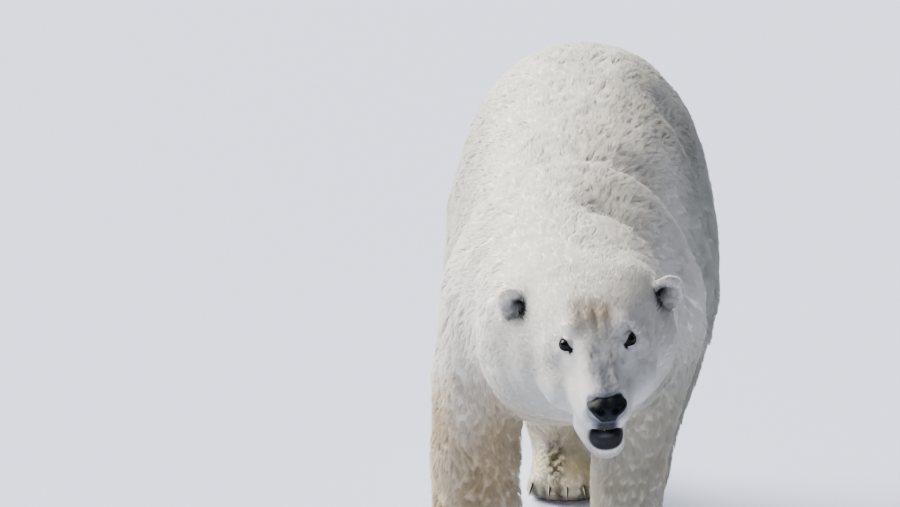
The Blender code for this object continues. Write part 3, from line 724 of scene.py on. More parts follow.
def markingsAt(points, normals):
    # linear colours by place, from the creamy back to tan legs, grey muzzle and black lips, with painted
    # shade on the shaded side and a painted highlight on the lower lip
    inHead = intoHead(points)
    across, back, height = points.T
    x, y, z = inHead.T
    aside = np.abs(x)
    colours = {name: np.array(fromHex(value)) for name, value in markColours.items()}
    mark = np.repeat(colours["cream"][None], len(points), axis=0)

    def lay(name, share):
        nonlocal mark
        mark = mark + (colours[name] - mark) * np.clip(share, 0, 1)[:, None]

    def laySpots(places, spots, within=1.0):
        for name, share, place, size in spots:
            lay(name, within * share * bell(places, place, size))

    # body and legs
    patches = 0.5 + 0.5 * wobble(points, 0.16, 11)
    lay("yellow", step(0.98, 0.45, height) * (0.35 + 0.45 * patches))
    foreleg = step(-0.20, -0.32, back) * step(-1.0, -0.92, back)
    warm = 1 - 0.65 * step(-0.02, 0.10, across)
    lay("tan", warm * foreleg * step(0.86, 0.62, height) * (0.30 + 0.6 * patches))
    laySpots(points, [bodySpots["elbow"]])
    laySpots(points, [bodySpots["innerLeg"]], 0.5 + 0.5 * patches)
    lay("yellow", 0.35 * step(0.2, -0.6, normals[:, 2]) * step(1.05, 0.7, height))
    # painted shade: grey on the right flank and rump, the side away from the key light, over a little
    # dusty fur on both flanks
    flank = step(-0.26, 0.16, back) * step(0.21, 0.30, np.abs(across))
    mottle = 0.80 + 0.12 * wobble(points, 0.10, 15)
    lay("dustAndShade", flank * mottle * step(-0.05, 0.12, across))
    lay("dustAndShade", 0.32 * step(0.12, 0.30, back) * step(0.05, 0.24, across))  # rump
    lay("dustAndShade", flank * 0.35 * step(0.05, -0.12, across))
    # painted shade on the throat's right side, behind the head
    laySpots(points, (bodySpots["throatShade"], bodySpots["throatShadeTan"]), step(-0.04, 0.02, y))
    name, share, place, size = bodySpots["hindPaw"]
    clotted = share * bell(points, place, size) * step(-0.6, 0.2, wobble(points, 0.03, 12))
    lay(name, 0.95 * np.clip(clotted, 0, 1))
    # painted shade and dirt between the toes
    for gap in toeGaps["across"]:
        lay("dirtAndShade", 0.95 * bell(points, (gap, *toeGaps["place"]), toeGaps["size"]))
    # painted shade: grey down the right foreleg, which lies in the body's shade
    lay("dustAndShade", 0.45 * foreleg * step(0.04, 0.10, across) * step(0.90, 0.78, height))
    lay("dirtAndShade", 0.35 * step(0.05, 0.01, height) * (0.4 + 0.6 * patches))

    # crown and cheeks
    onHead = step(0.10, 0.04, y) * step(-0.30, -0.26, z)
    lobes = sum(share * bell(inHead, place, size) for share, place, size in stainLobes)
    mottle = 0.80 + 0.20 * wobble(inHead * (1, 0.5, 1), 0.020, 13)
    lay("stain", onHead * 0.95 * np.clip(lobes, 0, 1) * mottle)
    # painted shade in the forehead's crease and beside the stain
    laySpots(inHead, foreheadShade, onHead)
    # grey skin through the short fur of the face, more on the muzzle, laid heavier as painted shade
    lay("greySkinAndShade", onHead * (0.07 + 0.11 * step(-0.15, -0.24, y)))
    # painted shade: grey on the lower sides of the head
    lay("dustAndShade", onHead * 0.28 * step(0.03, -0.05, z) * step(0.03, 0.06, aside))
    # painted shade: grey on the left side of the muzzle
    lay("greySkinAndShade", onHead * 0.15 * step(-0.02, -0.05, x) * step(-0.16, -0.24, y))

    # bridge of the muzzle, scarred, in grey skin that runs on down its shaded side as painted shade
    bridge = step(-0.172, -0.236, y) * step(-0.075, -0.020, z)
    tone = np.interp(x, bridgeTone["across"], bridgeTone["shares"])
    tone = tone * (0.60 + 0.40 * step(-0.235, -0.290, y)) * bridge
    lay("greySkinAndShade", onHead * tone)
    lay("scarAndShade", onHead * 0.45 * tone * step(0.2, 0.8, wobble(inHead * (1, 0.5, 1), 0.015, 14)))
    laySpots(inHead, scars, onHead)

    # front of the muzzle, lips and nose
    front = step(0.046, 0.026, aside + 0.2 * np.clip(x, 0, 1)) * step(-0.335, -0.36, y)
    front = onHead * front * step(-0.055, -0.070, z) * step(-0.122, -0.118, z)
    lay("greySkinAndShade", 0.8 * front)
    lay("scarAndShade", 0.9 * front * step(0.032, 0.014, aside))
    lay("black", 0.85 * front * step(0.030, 0.014, aside) * step(-0.068, -0.082, z))
    lay("black", onHead * lipShare(inHead))
    place, half = noseSettings["place"], noseSettings["half"]
    wide = np.interp((z - place[2]) / half[2], noseSettings["heights"], noseSettings["widths"])
    onPad = step(1.05, 0.93, np.abs(x - place[0]) / (wide * half[0]))
    lay("greySkinAndShade", onHead * 0.7 * noseShare(inHead, 1.02))
    lay("black", onHead * onPad * noseShare(inHead, 0.98))
    # painted shade and a painted highlight on the lower lip
    laySpots(inHead, lowerLipShadeAndGlint)

    for side in (-1, 1):
        ring = eyeRing(points, side)[0]
        away = np.linalg.norm(points - eyeAxes(side)[0], axis=1)
        near = away < 0.029
        lay("greySkinAndShade", 0.13 * bell(away[:, None], (0.0,), (0.040,)) * step(4.5, 1.6, ring))
        # painted shade: grey round the left eye only, on the shaded side
        lay("greySkinAndShade", near * (0.20 + 0.20 * side) * step(2.2, 1.5, ring))
        lay("black", near * step(*eyeSettings["blackRim"], ring))
        # painted shade in each ear's cup and groove, and a black opening that stands for its dark skin and
        # the hole's shade
        lay("scarAndShade", 0.18 * earHole(points, side, 1.6))
        lay("black", 2.8 * earHole(points, side))
        lay("scarAndShade", 0.40 * bell(inHead, mirror(earFurrow[0], side), earFurrow[1]))
    return mark


def lipShare(inHead):
    # black lips: a rim round the open front of the mouth, and the rounded front of the lower lip
    x, y, z = inHead.T
    x = np.abs(x)
    rim = step(0.032, 0.022, x) * step(-0.104, -0.109, z) * step(-0.145, -0.135, z)
    rim = rim * step(-0.30, -0.33, y)
    lower = np.sqrt((x / 0.0435) ** 2 + ((z + 0.140) / 0.036) ** 2)
    lower = step(1.14, 0.88, lower) * step(-0.117, -0.122, z) * step(-0.300, -0.318, y)
    inside = step(0.034, 0.026, x) * step(-0.112, -0.116, z) * step(-0.142, -0.136, z)
    inside = inside * step(-0.20, -0.23, y)
    return np.maximum(np.maximum(rim, lower), inside)


def writeValues(mesh, name, values):
    layer = mesh.attributes.new(name, "FLOAT", "POINT")
    layer.data.foreach_set("value", values.astype(np.float32))


def writeMarkings(mesh, colours):
    layer = mesh.color_attributes.new("markings", "FLOAT_COLOR", "POINT")
    values = np.ones((len(colours), 4), np.float32)
    values[:, :3] = colours
    layer.data.foreach_set("color", values.ravel())


def wetShare(points):
    inHead = intoHead(points)
    return lipShare(inHead) * step(0.02, 0.0, inHead[:, 1])


writeMarkings(skin.data, markingsAt(skinPoints, skinNormals))
writeValues(skin.data, "wet", wetShare(skinPoints))


# materials, with patterns in object coordinates: a scale of 1000 is a pattern of 1 mm
def objectPlace(tree):
    return addNode(tree, "ShaderNodeTexCoord").outputs["Object"]


def attribute(tree, name, output="Fac"):
    return addNode(tree, "ShaderNodeAttribute", {"attribute_name": name}).outputs[output]


def noise(tree, place, scale, detail):
    settings = {"Scale": scale, "Detail": detail}
    return addNode(tree, "ShaderNodeTexNoise", settings, {"Vector": place}).outputs["Fac"]


def ranged(tree, value, low, high):
    settings = {"To Min": low, "To Max": high}
    return addNode(tree, "ShaderNodeMapRange", settings, {"Value": value}).outputs["Result"]


def times(tree, colour, factor):
    settings = {"operation": "MULTIPLY"}
    return addNode(tree, "ShaderNodeVectorMath", settings, {0: colour, 1: factor}).outputs["Vector"]


def colourRamp(tree, value, stops):
    ramp = addNode(tree, "ShaderNodeValToRGB", {}, {"Fac": value})
    bands = ramp.color_ramp.elements
    bands.remove(bands[1])
    for number, (place, colour) in enumerate(stops):
        stop = bands.new(place) if number else bands[0]
        stop.position = place
        stop.color = (*fromHex(colour), 1)
    return ramp.outputs["Color"]


def addBump(tree, shader, height, strength, distance):
    settings = {"Strength": strength, "Distance": distance}
    bump = addNode(tree, "ShaderNodeBump", settings, {"Height": height})
    tree.links.new(bump.outputs["Normal"], shader.inputs["Normal"])


def hideMaterial():
    # living hide under short fur: fine down that scatters light, with pores and wet lips
    look = {"Roughness": 0.72, "IOR": 1.45, "Specular IOR Level": 0.2}
    material, tree, shader = newMaterial("hide with short down", look)
    gloss = ranged(tree, attribute(tree, "wet"), 0.75, 0.58)  # dry, wet
    tree.links.new(gloss, shader.inputs["Roughness"])
    down = noise(tree, objectPlace(tree), 420.0, 3.0)  # 2 mm, as coarse as it needs to show
    colour = times(tree, attribute(tree, "markings", "Color"), ranged(tree, down, 0.80, 1.12))
    tree.links.new(colour, shader.inputs["Base Color"])
    addBump(tree, shader, down, 0.5, 0.0006)
    return material


def furMaterial():
    # hollow clear guard hairs over white down, matte, and a little darker at the roots as painted shade
    # deep in the coat
    look = {"Roughness": 0.62, "IOR": 1.5, "Sheen Weight": 0.35, "Sheen Roughness": 0.5}
    look["Specular IOR Level"] = 0.3
    material, tree, shader = newMaterial("guard hair", look)
    tint = ranged(tree, noise(tree, objectPlace(tree), 45.0, 3.0), 0.90, 1.07)  # patches of 22 mm
    fromRoot = ranged(tree, attribute(tree, "along"), 0.96, 1.01)
    shade = addNode(tree, "ShaderNodeMath", {"operation": "MULTIPLY"}, {0: tint, 1: fromRoot})
    colour = times(tree, attribute(tree, "markings", "Color"), shade.outputs["Value"])
    tree.links.new(colour, shader.inputs["Base Color"])
    glow = addNode(tree, "ShaderNodeBsdfTranslucent", {}, {"Color": colour})
    both = addNode(tree, "ShaderNodeMixShader", {"Fac": 0.45})  # light that comes through the hair
    tree.links.new(shader.outputs["BSDF"], both.inputs[1])
    tree.links.new(glow.outputs["BSDF"], both.inputs[2])
    tree.links.new(both.outputs["Shader"], tree.nodes["Material Output"].inputs["Surface"])
    return material


def noseMaterial():
    # bare nose leather, pebbled, wet in places
    look = {"Base Color": "#11151A", "Roughness": 0.5, "IOR": 1.4, "Specular IOR Level": 0.12}
    material, tree, shader = newMaterial("nose leather", look)
    place = objectPlace(tree)
    settings = {"Scale": 700.0, "feature": "F1"}  # 1.4 mm pebbles
    pebbles = addNode(tree, "ShaderNodeTexVoronoi", settings, {"Vector": place})
    addBump(tree, shader, pebbles.outputs["Distance"], 0.55, 0.0005)
    rough = ranged(tree, noise(tree, place, 120.0, 4.0), 0.38, 0.68)  # patches of 8 mm
    tree.links.new(rough, shader.inputs["Roughness"])
    return material


def eyeMaterial():
    # wet cornea over a dark brown iris and a black pupil, in rings round the eye's own axis
    look = {"Roughness": 0.09, "IOR": 1.376, "Specular IOR Level": 0.2}
    material, tree, shader = newMaterial("wet eye", look)
    stops = ((0.0, "#030303"), (0.22, "#040303"), (0.27, "#100906"), (0.42, "#0C0705"))
    stops += ((0.50, "#060505"), (1.0, "#0B0A0A"))
    colour = colourRamp(tree, attribute(tree, "ring"), stops)
    tree.links.new(colour, shader.inputs["Base Color"])
    return material


def hornMaterial():
    # claw horn, grown in long fibres of dark and pale brown
    material, tree, shader = newMaterial("claw horn", {"Roughness": 0.38, "IOR": 1.54})
    stretch = addNode(
        tree, "ShaderNodeMapping", {"Scale": (1.0, 0.12, 0.35)}, {"Vector": objectPlace(tree)}
    )
    fibres = noise(tree, stretch.outputs["Vector"], 900.0, 2.0)  # 1 mm fibres
    colour = colourRamp(tree, fibres, ((0.0, "#15110E"), (1.0, "#4A4037")))
    tree.links.new(colour, shader.inputs["Base Color"])
    addBump(tree, shader, fibres, 0.3, 0.0004)
    return material


def mouthMaterial(name, colour, deep, roughness, size):
    # wet tissue or enamel: mottled colour, glossy
    material, tree, shader = newMaterial(name, {"Roughness": roughness, "IOR": 1.4})
    spots = noise(tree, objectPlace(tree), 1 / size, 4.0)
    mottled = colourRamp(tree, spots, ((0.3, deep), (0.7, colour)))
    tree.links.new(mottled, shader.inputs["Base Color"])
    addBump(tree, shader, spots, 0.4, 0.0006)
    return material


hide = hideMaterial()
fur = furMaterial()
noseLeather = noseMaterial()
wetEye = eyeMaterial()
horn = hornMaterial()
tongueFlesh = mouthMaterial("tongue flesh", "#8E6A6C", "#5E4448", 0.35, 0.004)
enamel = mouthMaterial("tooth enamel", "#D8CFB4", "#B9A987", 0.25, 0.006)


def finishPiece(piece, name, material, slot, *nodes):
    piece.name = name
    piece.data.name = name
    piece.data.materials.clear()
    piece.data.materials.append(material)
    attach(piece, "root")
    if nodes:
        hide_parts(*nodes)


finishPiece(skin, "skin", hide, "coat_body", *fleshNodes)


# eyes
def makeEye(side):
    centre, out, long, high = eyeAxes(side)
    radius = eyeSettings["radius"]
    bpy.ops.mesh.primitive_uv_sphere_add(segments=48, ring_count=32, radius=radius)
    eye = bpy.context.object
    points = readPoints(eye.data)
    ahead = points[:, 2] / radius  # the sphere's pole becomes the pupil
    bulge = 0.0016 * step(0.80, 0.93, ahead)
    points = points * (1 + bulge / radius)[:, None]
    ring = np.arccos(np.clip(ahead, -1, 1)) / math.pi * 2
    points = centre + points @ np.stack((long, high, out))
    writeValues(eye.data, "ring", ring)
    writePoints(eye.data, points)
    eye.data.shade_smooth()
    name = "left" if side > 0 else "right"
    finishPiece(eye, "eyeball_" + name, wetEye, "eye", "eye_" + name)


for side in (-1, 1):
    makeEye(side)
print("eyes ready")


# nose
def roundedCube(cuts, roundness):
    bpy.ops.mesh.primitive_cube_add(size=2)
    cube = bpy.context.object
    editAll(
        cube,
        (bpy.ops.mesh.subdivide, {"number_cuts": cuts}),
        (bpy.ops.transform.tosphere, {"value": roundness}),
    )
    return cube


def subdivide(obj, levels=1):
    applyModifier(obj, "SUBSURF", {"levels": levels, "render_levels": levels})
    obj.data.shade_smooth()


def shapeNose(points):
    # a rounded block, wide at the wings and narrow below, with nostrils, wing slits and a seam
    half = noseSettings["half"]
    rounded = np.sign(points) * np.abs(points) ** 0.74
    x, y, z = rounded.T
    x = x * np.interp(z, noseSettings["heights"], noseSettings["widths"])
    y = y + 0.22 * step(0.2, 1.0, z) + 0.16 * step(0.0, -1.0, z)  # top and bottom lean back
    x, y, z = x * half[0], y * half[1], z * half[2]
    side = np.abs(x)
    top = step(0.3, 0.9, rounded[:, 2])
    z = z - 0.0022 * np.exp(-((x / 0.008) ** 2)) * top
    z = z + 0.0012 * np.exp(-(((side - 0.020) / 0.010) ** 2)) * top
    hole, holeHalf = noseSettings["nostril"], noseSettings["nostrilHalf"]
    gap = np.sqrt(((side - hole[0]) / holeHalf[0]) ** 2 + ((z - hole[1]) / holeHalf[1]) ** 2)
    sink = noseSettings["nostrilDepth"] * step(1.25, 0.55, gap)
    rim = 0.0016 * np.exp(-(((gap - 1.55) / 0.35) ** 2))
    slit, slitHalf = noseSettings["slit"], noseSettings["slitHalf"]
    bend = (side - slit[0]) * 0.35
    gap = ((side - slit[0]) / slitHalf[0]) ** 2 + ((z - slit[1] - bend) / slitHalf[1]) ** 2
    sink = np.maximum(sink, noseSettings["slitDepth"] * step(1.5, 0.5, np.sqrt(gap)))
    seam = 0.0026 * np.exp(-((x / 0.0016) ** 2)) * step(0.3, -0.1, rounded[:, 2])
    front = step(0.0, -0.4, rounded[:, 1])
    y = y + front * (np.maximum(sink, seam) - rim)
    return np.stack((x, y, z), axis=1)


def makeNose():
    nose = roundedCube(25, 1.0)
    points = shapeNose(unit(readPoints(nose.data))) + np.array(noseSettings["place"])
    writePoints(nose.data, outOfHead(points))
    subdivide(nose)
    finishPiece(nose, "nose_pad", noseLeather, "nose_skin", "nose")


makeNose()
print("nose ready")


# tongue and the lower front teeth, which show between the lips
mouthSettings = {
    "tongueHalf": (0.024, 0.075, 0.0055),
    "tonguePlace": (0.0, -0.262, -0.133),
    "toothHalf": (0.0026, 0.0022, 0.0052),
    "teethPlace": (0.0, -0.3440, -0.1300),
    "teethAside": 0.0155,  # of the outer ones from the middle
    "teethBack": 0.007,  # and how much further back
    "teethLean": 0.1,
    "teeth": 6,
    "fangHalf": (0.0042, 0.0045, 0.0100),
    "fangPlace": (0.0245, -0.327, -0.1300),
    "fangLean": 0.25,
}


def makeTongue():
    tongue = roundedCube(11, 0.85)
    points = readPoints(tongue.data) * np.array(mouthSettings["tongueHalf"])
    x, y, z = points.T
    z = z - 0.0022 * np.exp(-((x / 0.004) ** 2)) * (z > 0) - 0.3 * np.abs(y) ** 2
    points = np.stack((x, y, z), axis=1) + np.array(mouthSettings["tonguePlace"])
    writePoints(tongue.data, outOfHead(points))
    subdivide(tongue)
    finishPiece(tongue, "tongue", tongueFlesh, "nose_skin")


def makeTooth(place, half, lean):
    tooth = roundedCube(3, 0.6)
    points = readPoints(tooth.data)
    taper = 1 - 0.35 * np.clip(points[:, 2], -0.4, 1)
    points[:, :2] *= taper[:, None]
    points = points * np.array(half)
    points[:, 0] += lean * points[:, 2]
    writePoints(tooth.data, outOfHead(points + np.array(place)))
    return tooth


def makeTeeth():
    count = mouthSettings["teeth"]
    x, y, z = mouthSettings["teethPlace"]
    aside, back = mouthSettings["teethAside"], mouthSettings["teethBack"]
    teeth = []
    for k in range(count):
        share = 2 * k / (count - 1) - 1
        place = (x + aside * share, y + back * share * share, z)
        teeth.append(makeTooth(place, mouthSettings["toothHalf"], mouthSettings["teethLean"] * share))
    for side in (-1, 1):
        place = mirror(mouthSettings["fangPlace"], side)
        teeth.append(makeTooth(place, mouthSettings["fangHalf"], mouthSettings["fangLean"] * side))
    activate(*teeth)
    bpy.ops.object.join()
    row = bpy.context.object
    subdivide(row)
    finishPiece(row, "lower_teeth", enamel, "claw_horn")


makeTongue()
makeTeeth()
print("mouth ready")


# claws: each follows its solid, rounded
def makeClaw(name):
    claw = bpy.data.objects.new(name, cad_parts[name].data.copy())
    bpy.context.scene.collection.objects.link(claw)
    editAll(claw, (bpy.ops.mesh.remove_doubles, {"threshold": 1e-5}))
    subdivide(claw, 2)
    finishPiece(claw, name + "_horn", horn, "claw_horn", name)


for paw in pawNames:
    for toe in range(1, 6):
        makeClaw(f"{paw}_claw_{toe}")
print("claws ready")


# the coat
coatForm = {
    "share": 1.0,  # of the locks
    "mostTriangles": 196000,  # in one piece
    "patch": 0.003,  # a lock's patch on the bake map
    "proxyFaces": 7000,
    "size": (0.95, 1.05),  # of a lock, at random
    "turn": 0.13,  # spread of the ways it lies, in radians
    "shade": 0.012,  # and of its brightness
    "sink": 0.0015,  # of the roots under the skin
}
stripSpread = {  # how strips of one lock differ
    "length": (0.78, 1.12),
    "lift": (0.88, 1.06),
    "width": (0.8, 1.2),
    "phase": 0.35,
    "roll": 0.22,
}
# strips in a lock, lengths of each strip, the spread of the roots in widths, and where it grows
lockKinds = {
    "short": dict(
        strips=3, parts=2, spread=1.6, slot="coat_face", regions=("head", "muzzle", "ear", "paw")
    ),
    "long": dict(
        strips=7, parts=3, spread=2.6, slot="coat_body", regions=("trunk", "neck", "haunch", "tail")
    ),
    "curly": dict(strips=7, parts=4, spread=2.4, slot="coat_legs", regions=("upper", "lower")),
}
hairFall = {  # how much the coat runs down and back
    "upper": (1.0, 0.25),
    "haunch": (1.0, 0.75),
    "lower": (1.0, 0.12),
    "paw": (0.45, -0.8),
    "tail": (1.0, 0.3),
}


def hairWays(points, normals, edges, shares):
    # the lie of the coat: back from the nose, over the back, down the flanks and legs
    inHead = intoHead(points)
    noseTip = outOfHead(np.array((0, -0.40, -0.02)))
    column = {name: shares[:, k][:, None] for k, name in enumerate(regionNames)}
    aside = np.abs(normals[:, :1])
    front = step(-0.35, -0.75, normals[:, 1:2])
    rear = step(0.45, 0.80, normals[:, 1:2])
    under = step(-0.3, -0.8, normals[:, 2:])
    back = np.array((0.0, 1.0, 0.0))
    down = np.array((0.0, 0.0, -1.0))
    ways = column["trunk"] * (back + down * (0.10 + 1.0 * aside) * (1 - under))
    ways = ways + column["trunk"] * (front * (down * 3 - back) + rear * down * 1.5)
    ways = ways + column["neck"] * (back + down * (0.1 + 0.7 * aside))
    fromNose = unit(points - noseTip)
    cheek = (step(0.05, 0.12, np.abs(inHead[:, 0])) * step(0.04, -0.08, inHead[:, 2]))[:, None]
    ways = ways + (column["head"] + column["muzzle"]) * (fromNose + down * 0.35 * cheek)
    for name, (fall, run) in hairFall.items():
        ways = ways + column[name] * (down * fall + back * run)
    for side in (-1, 1):
        low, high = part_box("ear_left" if side > 0 else "ear_right")
        root = np.array((low + high) / 2) - headTurn @ np.array((0.012 * side, -0.004, 0.030))
        near = np.linalg.norm(points - root, axis=1) < 0.14
        ways = ways + column["ear"] * unit(points - root) * near[:, None] * 1.5
    for _ in range(4):
        ways = ways - normals * (ways * normals).sum(1, keepdims=True)
        ways = spread(unit(ways), edges, 3)
    turn = 0.34 * wobble(points, 0.13, 21) + 0.16 * wobble(points, 0.05, 22)
    turn = turn[:, None] * (1 - 0.8 * (column["head"] + column["muzzle"] + column["ear"]))
    ways = unit(ways - normals * (ways * normals).sum(1, keepdims=True))
    return unit(ways * np.cos(turn) + np.cross(normals, ways) * np.sin(turn))


def bareShare(points, normals):
    # 1 where no hair grows: eyes, lips, mouth, nose, ear holes, soles
    inHead = intoHead(points)
    y, z = inHead[:, 1], inHead[:, 2]
    bare = step(0.0, 0.3, lipShare(inHead)) * step(0.02, 0.0, y)
    gap = step(-0.115, -0.119, z) * step(-0.145, -0.139, z) * step(-0.22, -0.24, y)
    bare = np.maximum(bare, gap * (np.abs(normals[:, 2]) > 0.6))
    bare = np.maximum(bare, noseShare(inHead, 0.96))
    bare = np.maximum(bare, step(0.010, 0.004, points[:, 2]) * step(-0.3, -0.7, normals[:, 2]))
    for side in (-1, 1):
        ring = eyeRing(points, side)[0]
        near = np.linalg.norm(points - eyeAxes(side)[0], axis=1) < 0.036
        bare = np.maximum(bare, near * step(2.15, 1.90, ring))
        bare = np.maximum(bare, step(0.30, 0.50, earHole(points, side)))
    return bare


def unwrapProxy():
    # a light copy of the skin, unwrapped by its own shape, for the coat's bake map
    proxy = bpy.data.objects.new("proxy", skin.data.copy())
    bpy.context.scene.collection.objects.link(proxy)
    ratio = coatForm["proxyFaces"] / len(proxy.data.polygons)
    applyModifier(proxy, "DECIMATE", {"ratio": ratio})
    editAll(
        proxy,
        (bpy.ops.mesh.quads_convert_to_tris, {}),
        (bpy.ops.uv.smart_project, {"angle_limit": math.radians(66), "island_margin": 0.004}),
    )
    corners = np.empty(len(proxy.data.loops) * 2)
    proxy.data.uv_layers.active.data.foreach_get("uv", corners)
    points, faces = readPoints(proxy.data), readTriangles(proxy.data)
    bpy.data.objects.remove(proxy)
    tree = BVHTree.FromPolygons(points.tolist(), faces.tolist())
    return tree, points, faces, corners.reshape(-1, 3, 2)


def mapPlaces(roots, proxy):
    tree, points, faces, corners = proxy
    place, _, face, _ = zip(*(tree.find_nearest(root) for root in roots.tolist()))
    place, face = np.array(place), np.array(face)
    a, b, c = (points[faces[face, k]] for k in range(3))
    whole = np.maximum(np.linalg.norm(np.cross(b - a, c - a), axis=1), 1e-12)
    shareB = np.linalg.norm(np.cross(place - a, c - a), axis=1) / whole
    shareC = np.linalg.norm(np.cross(b - a, place - a), axis=1) / whole
    first, second, third = (corners[face, k] for k in range(3))
    spot = first + (second - first) * shareB[:, None] + (third - first) * shareC[:, None]
    return np.clip(spot, 0.002, 0.998)


def sowRoots():
    # roots by area and density, spread evenly along the list of faces
    density = blended(skinShares, "locks") * (1 - bareShare(skinPoints, skinNormals))
    a, b, c = (skinPoints[skinTriangles[:, k]] for k in range(3))
    area = np.linalg.norm(np.cross(b - a, c - a), axis=1) / 2
    expected = area * density[skinTriangles].mean(1) * coatForm["share"]
    total = np.cumsum(expected)
    ticks = np.arange(int(total[-1])) + dice.uniform(0, 1, int(total[-1]))
    face = np.clip(np.searchsorted(total, ticks), 0, len(area) - 1)
    u, v = dice.uniform(0, 1, (2, len(face)))
    fold = u + v > 1
    u, v = np.where(fold, 1 - u, u), np.where(fold, 1 - v, v)
    return face, np.stack((1 - u - v, u, v), axis=1)


def atRoots(values, face, shares):
    return (values[skinTriangles[face]] * shares[:, :, None]).sum(1)


def makeStrips(locks, kind):
    # every strip of a set of locks: points, triangles, markings, along and bake map places
    strips, parts = kind["strips"], kind["parts"]
    count = len(locks["root"])
    each = 2 * parts + 1
    wave, gather, curl = (locks[key][:, None, None] for key in ("wave", "gather", "curl"))
    t = np.linspace(0, 1, parts + 1)[None, None, :]
    angle = dice.uniform(0, 2 * math.pi, (count, strips))
    away = np.sqrt(dice.uniform(0, 1, (count, strips))) * locks["width"][:, None] * kind["spread"]
    ox, oy = (np.cos(angle) * away)[..., None], (np.sin(angle) * away * 1.3)[..., None]
    length, lift = (
        (locks[key][:, None] * dice.uniform(*stripSpread[key], (count, strips)))[..., None]
        for key in ("length", "lift")
    )
    gather = 1 - gather * t**1.2
    phase = locks["phase"][:, None, None] + dice.normal(0, stripSpread["phase"], (count, strips, 1))
    swing = 2 * math.pi * t * length / wave + phase
    bend = curl * np.minimum(1, 2.2 * t)
    sideWay = ox * gather + bend * np.sin(swing)
    alongWay = oy * gather + length * t
    upWay = lift * (1 - (1 - t) ** 1.8) + 0.5 * bend * np.cos(swing) - coatForm["sink"]
    root, way, side, up, lean = (
        locks[key][:, None, None, :] for key in ("root", "way", "side", "up", "lean")
    )
    line = root + side * sideWay[..., None] + way * alongWay[..., None] + up * upWay[..., None]
    line = line + lean * (t**2)[..., None]
    roll = dice.normal(0, stripSpread["roll"], (count, strips, 1))
    across = side[:, :, 0] * np.cos(roll) + up[:, :, 0] * np.sin(roll)
    profile = np.array([1.0, 0.92, 0.74, 0.5])[: parts] if parts > 2 else np.array([1.0, 0.8])
    half = locks["width"][:, None, None] * 0.5
    half = half * dice.uniform(*stripSpread["width"], (count, strips, 1)) * profile[None, None, :]
    body = line[:, :, :parts]
    reach = across[:, :, None, :] * half[..., None]
    pairs = np.stack((body - reach, body + reach), axis=3).reshape(count, strips, 2 * parts, 3)
    points = np.concatenate((pairs, line[:, :, parts:]), axis=2)
    faces = []
    for k in range(parts - 1):
        faces += [(2 * k, 2 * k + 1, 2 * k + 3), (2 * k, 2 * k + 3, 2 * k + 2)]
    faces.append((2 * parts - 2, 2 * parts - 1, 2 * parts))
    start = np.arange(count * strips)[:, None, None] * each
    triangles = (start + np.array(faces)[None]).reshape(-1, 3)
    along = np.concatenate((np.repeat(t[0, 0, :parts], 2), [1.0]))
    aside = np.concatenate((np.tile((-0.5, 0.5), parts), [0.0]))
    corner = np.stack((aside * 0.3, along - 0.5), axis=1) * coatForm["patch"]
    within = (np.arange(strips) / max(strips - 1, 1) - 0.5) * coatForm["patch"] * 0.7
    spots = locks["spot"][:, None, None, :] + corner[None, None]
    spots = spots + np.stack((within, np.zeros(strips)), axis=1)[None, :, None, :]
    return {
        "points": points.reshape(-1, 3),
        "triangles": triangles,
        "along": np.tile(along, count * strips),
        "spots": spots.reshape(-1, 2),
        "marks": np.repeat(locks["marks"], strips * each, axis=0),
        "up": np.repeat(locks["up"], strips * each, axis=0),
    }


def meshOfStrips(name, strips):
    mesh = bpy.data.meshes.new(name)
    triangles = strips["triangles"]
    mesh.vertices.add(len(strips["points"]))
    mesh.vertices.foreach_set("co", strips["points"].astype(np.float32).ravel())
    mesh.loops.add(triangles.size)
    mesh.loops.foreach_set("vertex_index", triangles.astype(np.int32).ravel())
    mesh.polygons.add(len(triangles))
    mesh.polygons.foreach_set("loop_start", np.arange(len(triangles), dtype=np.int32) * 3)
    mesh.update()
    mesh.shade_smooth()
    uv = mesh.uv_layers.new(name="OFBake")
    uv.data.foreach_set("uv", strips["spots"][triangles.ravel()].astype(np.float32).ravel())
    writeMarkings(mesh, strips["marks"])
    writeValues(mesh, "along", strips["along"])
    bent = normalsOf(strips["points"], triangles)
    bent = unit(0.15 * bent + 0.85 * strips["up"])  # softened towards the skin's own normal
    mesh.normals_split_custom_set_from_vertices(bent.astype(np.float32))
    piece = bpy.data.objects.new(name, mesh)
    bpy.context.scene.collection.objects.link(piece)
    return piece


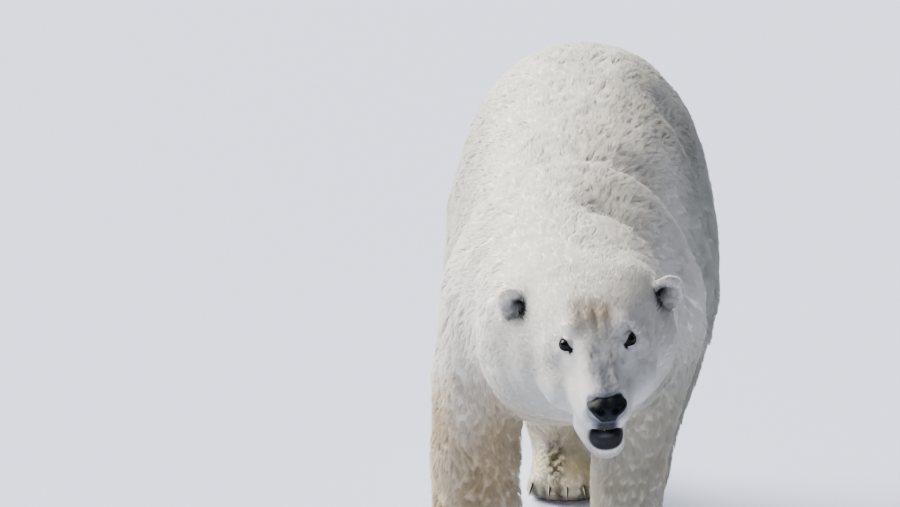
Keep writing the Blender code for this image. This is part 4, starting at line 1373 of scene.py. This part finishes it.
def makeCoat():
    face, shares = sowRoots()
    up = unit(atRoots(skinNormals, face, shares))
    ways = hairWays(skinPoints, skinNormals, skinEdges, skinShares)
    way = atRoots(ways, face, shares)
    way = unit(way - up * (way * up).sum(1, keepdims=True))
    turn = dice.normal(0, coatForm["turn"], len(face))[:, None]
    way = way * np.cos(turn) + np.cross(up, way) * np.sin(turn)
    region = atRoots(skinShares, face, shares)
    root = atRoots(skinPoints, face, shares)
    value = {key: blended(region, key) for key in coatColumns}
    size = dice.uniform(*coatForm["size"], len(face)) * (1 + 0.12 * wobble(root, 0.055, 31))
    _, y, z = intoHead(root).T
    beard = step(-0.150, -0.190, z) * step(-0.20, -0.26, y) * step(-0.26, -0.235, z)
    for side in (-1, 1):  # shorter round the eyes
        size = size * (1 - 0.6 * bell(root, eyeAxes(side)[0], (0.042, 0.042, 0.042)))
    lift = value["depth"] * size * (1.02 + 2.0 * beard)
    length = value["length"] * size * (1 + 1.3 * beard)
    skinTree = BVHTree.FromPolygons(skinPoints.tolist(), skinTriangles.tolist())
    ends = root + way * length[:, None]
    onSkin = np.array([skinTree.find_nearest(end)[0] for end in ends.tolist()])
    lean = onSkin - ends
    reach = np.linalg.norm(lean, axis=1, keepdims=True)
    lean = lean * np.minimum(1, 0.5 * length[:, None] / np.maximum(reach, 1e-6))
    proxy = unwrapProxy()
    shade = dice.normal(1, coatForm["shade"], (len(face), 1))
    locks = {
        "root": root,
        "up": up,
        "way": way,
        "side": np.cross(way, up),
        "lean": lean,
        "lift": lift,
        "length": length,
        "width": value["width"],
        "gather": value["gather"],
        "curl": value["curl"] * dice.uniform(0.6, 1.3, len(face)),
        "wave": value["wave"] * dice.uniform(0.85, 1.2, len(face)),
        "phase": dice.uniform(0, 2 * math.pi, len(face)),
        "spot": mapPlaces(root, proxy),
        "marks": np.clip(markingsAt(root, up) * shade, 0, 1),
    }
    major = region.argmax(1)
    total = 0
    for kindName, kind in lockKinds.items():
        chosen = np.isin(major, [regionNames.index(name) for name in kind["regions"]])
        order = np.nonzero(chosen)[0]
        order = order[np.argsort(root[order, 1], kind="stable")]
        perLock = kind["strips"] * (2 * kind["parts"] - 1)
        pieces = max(1, math.ceil(len(order) * perLock / coatForm["mostTriangles"]))
        for number, part in enumerate(np.array_split(order, pieces), 1):
            strips = makeStrips({key: column[part] for key, column in locks.items()}, kind)
            name = f"coat_{kindName}_{number}"
            finishPiece(meshOfStrips(name, strips), name, fur, kind["slot"])
            total += len(strips["triangles"])
            print(name, len(strips["triangles"]))
    print("coat ready", total, "triangles on", len(face), "locks")


makeCoat()
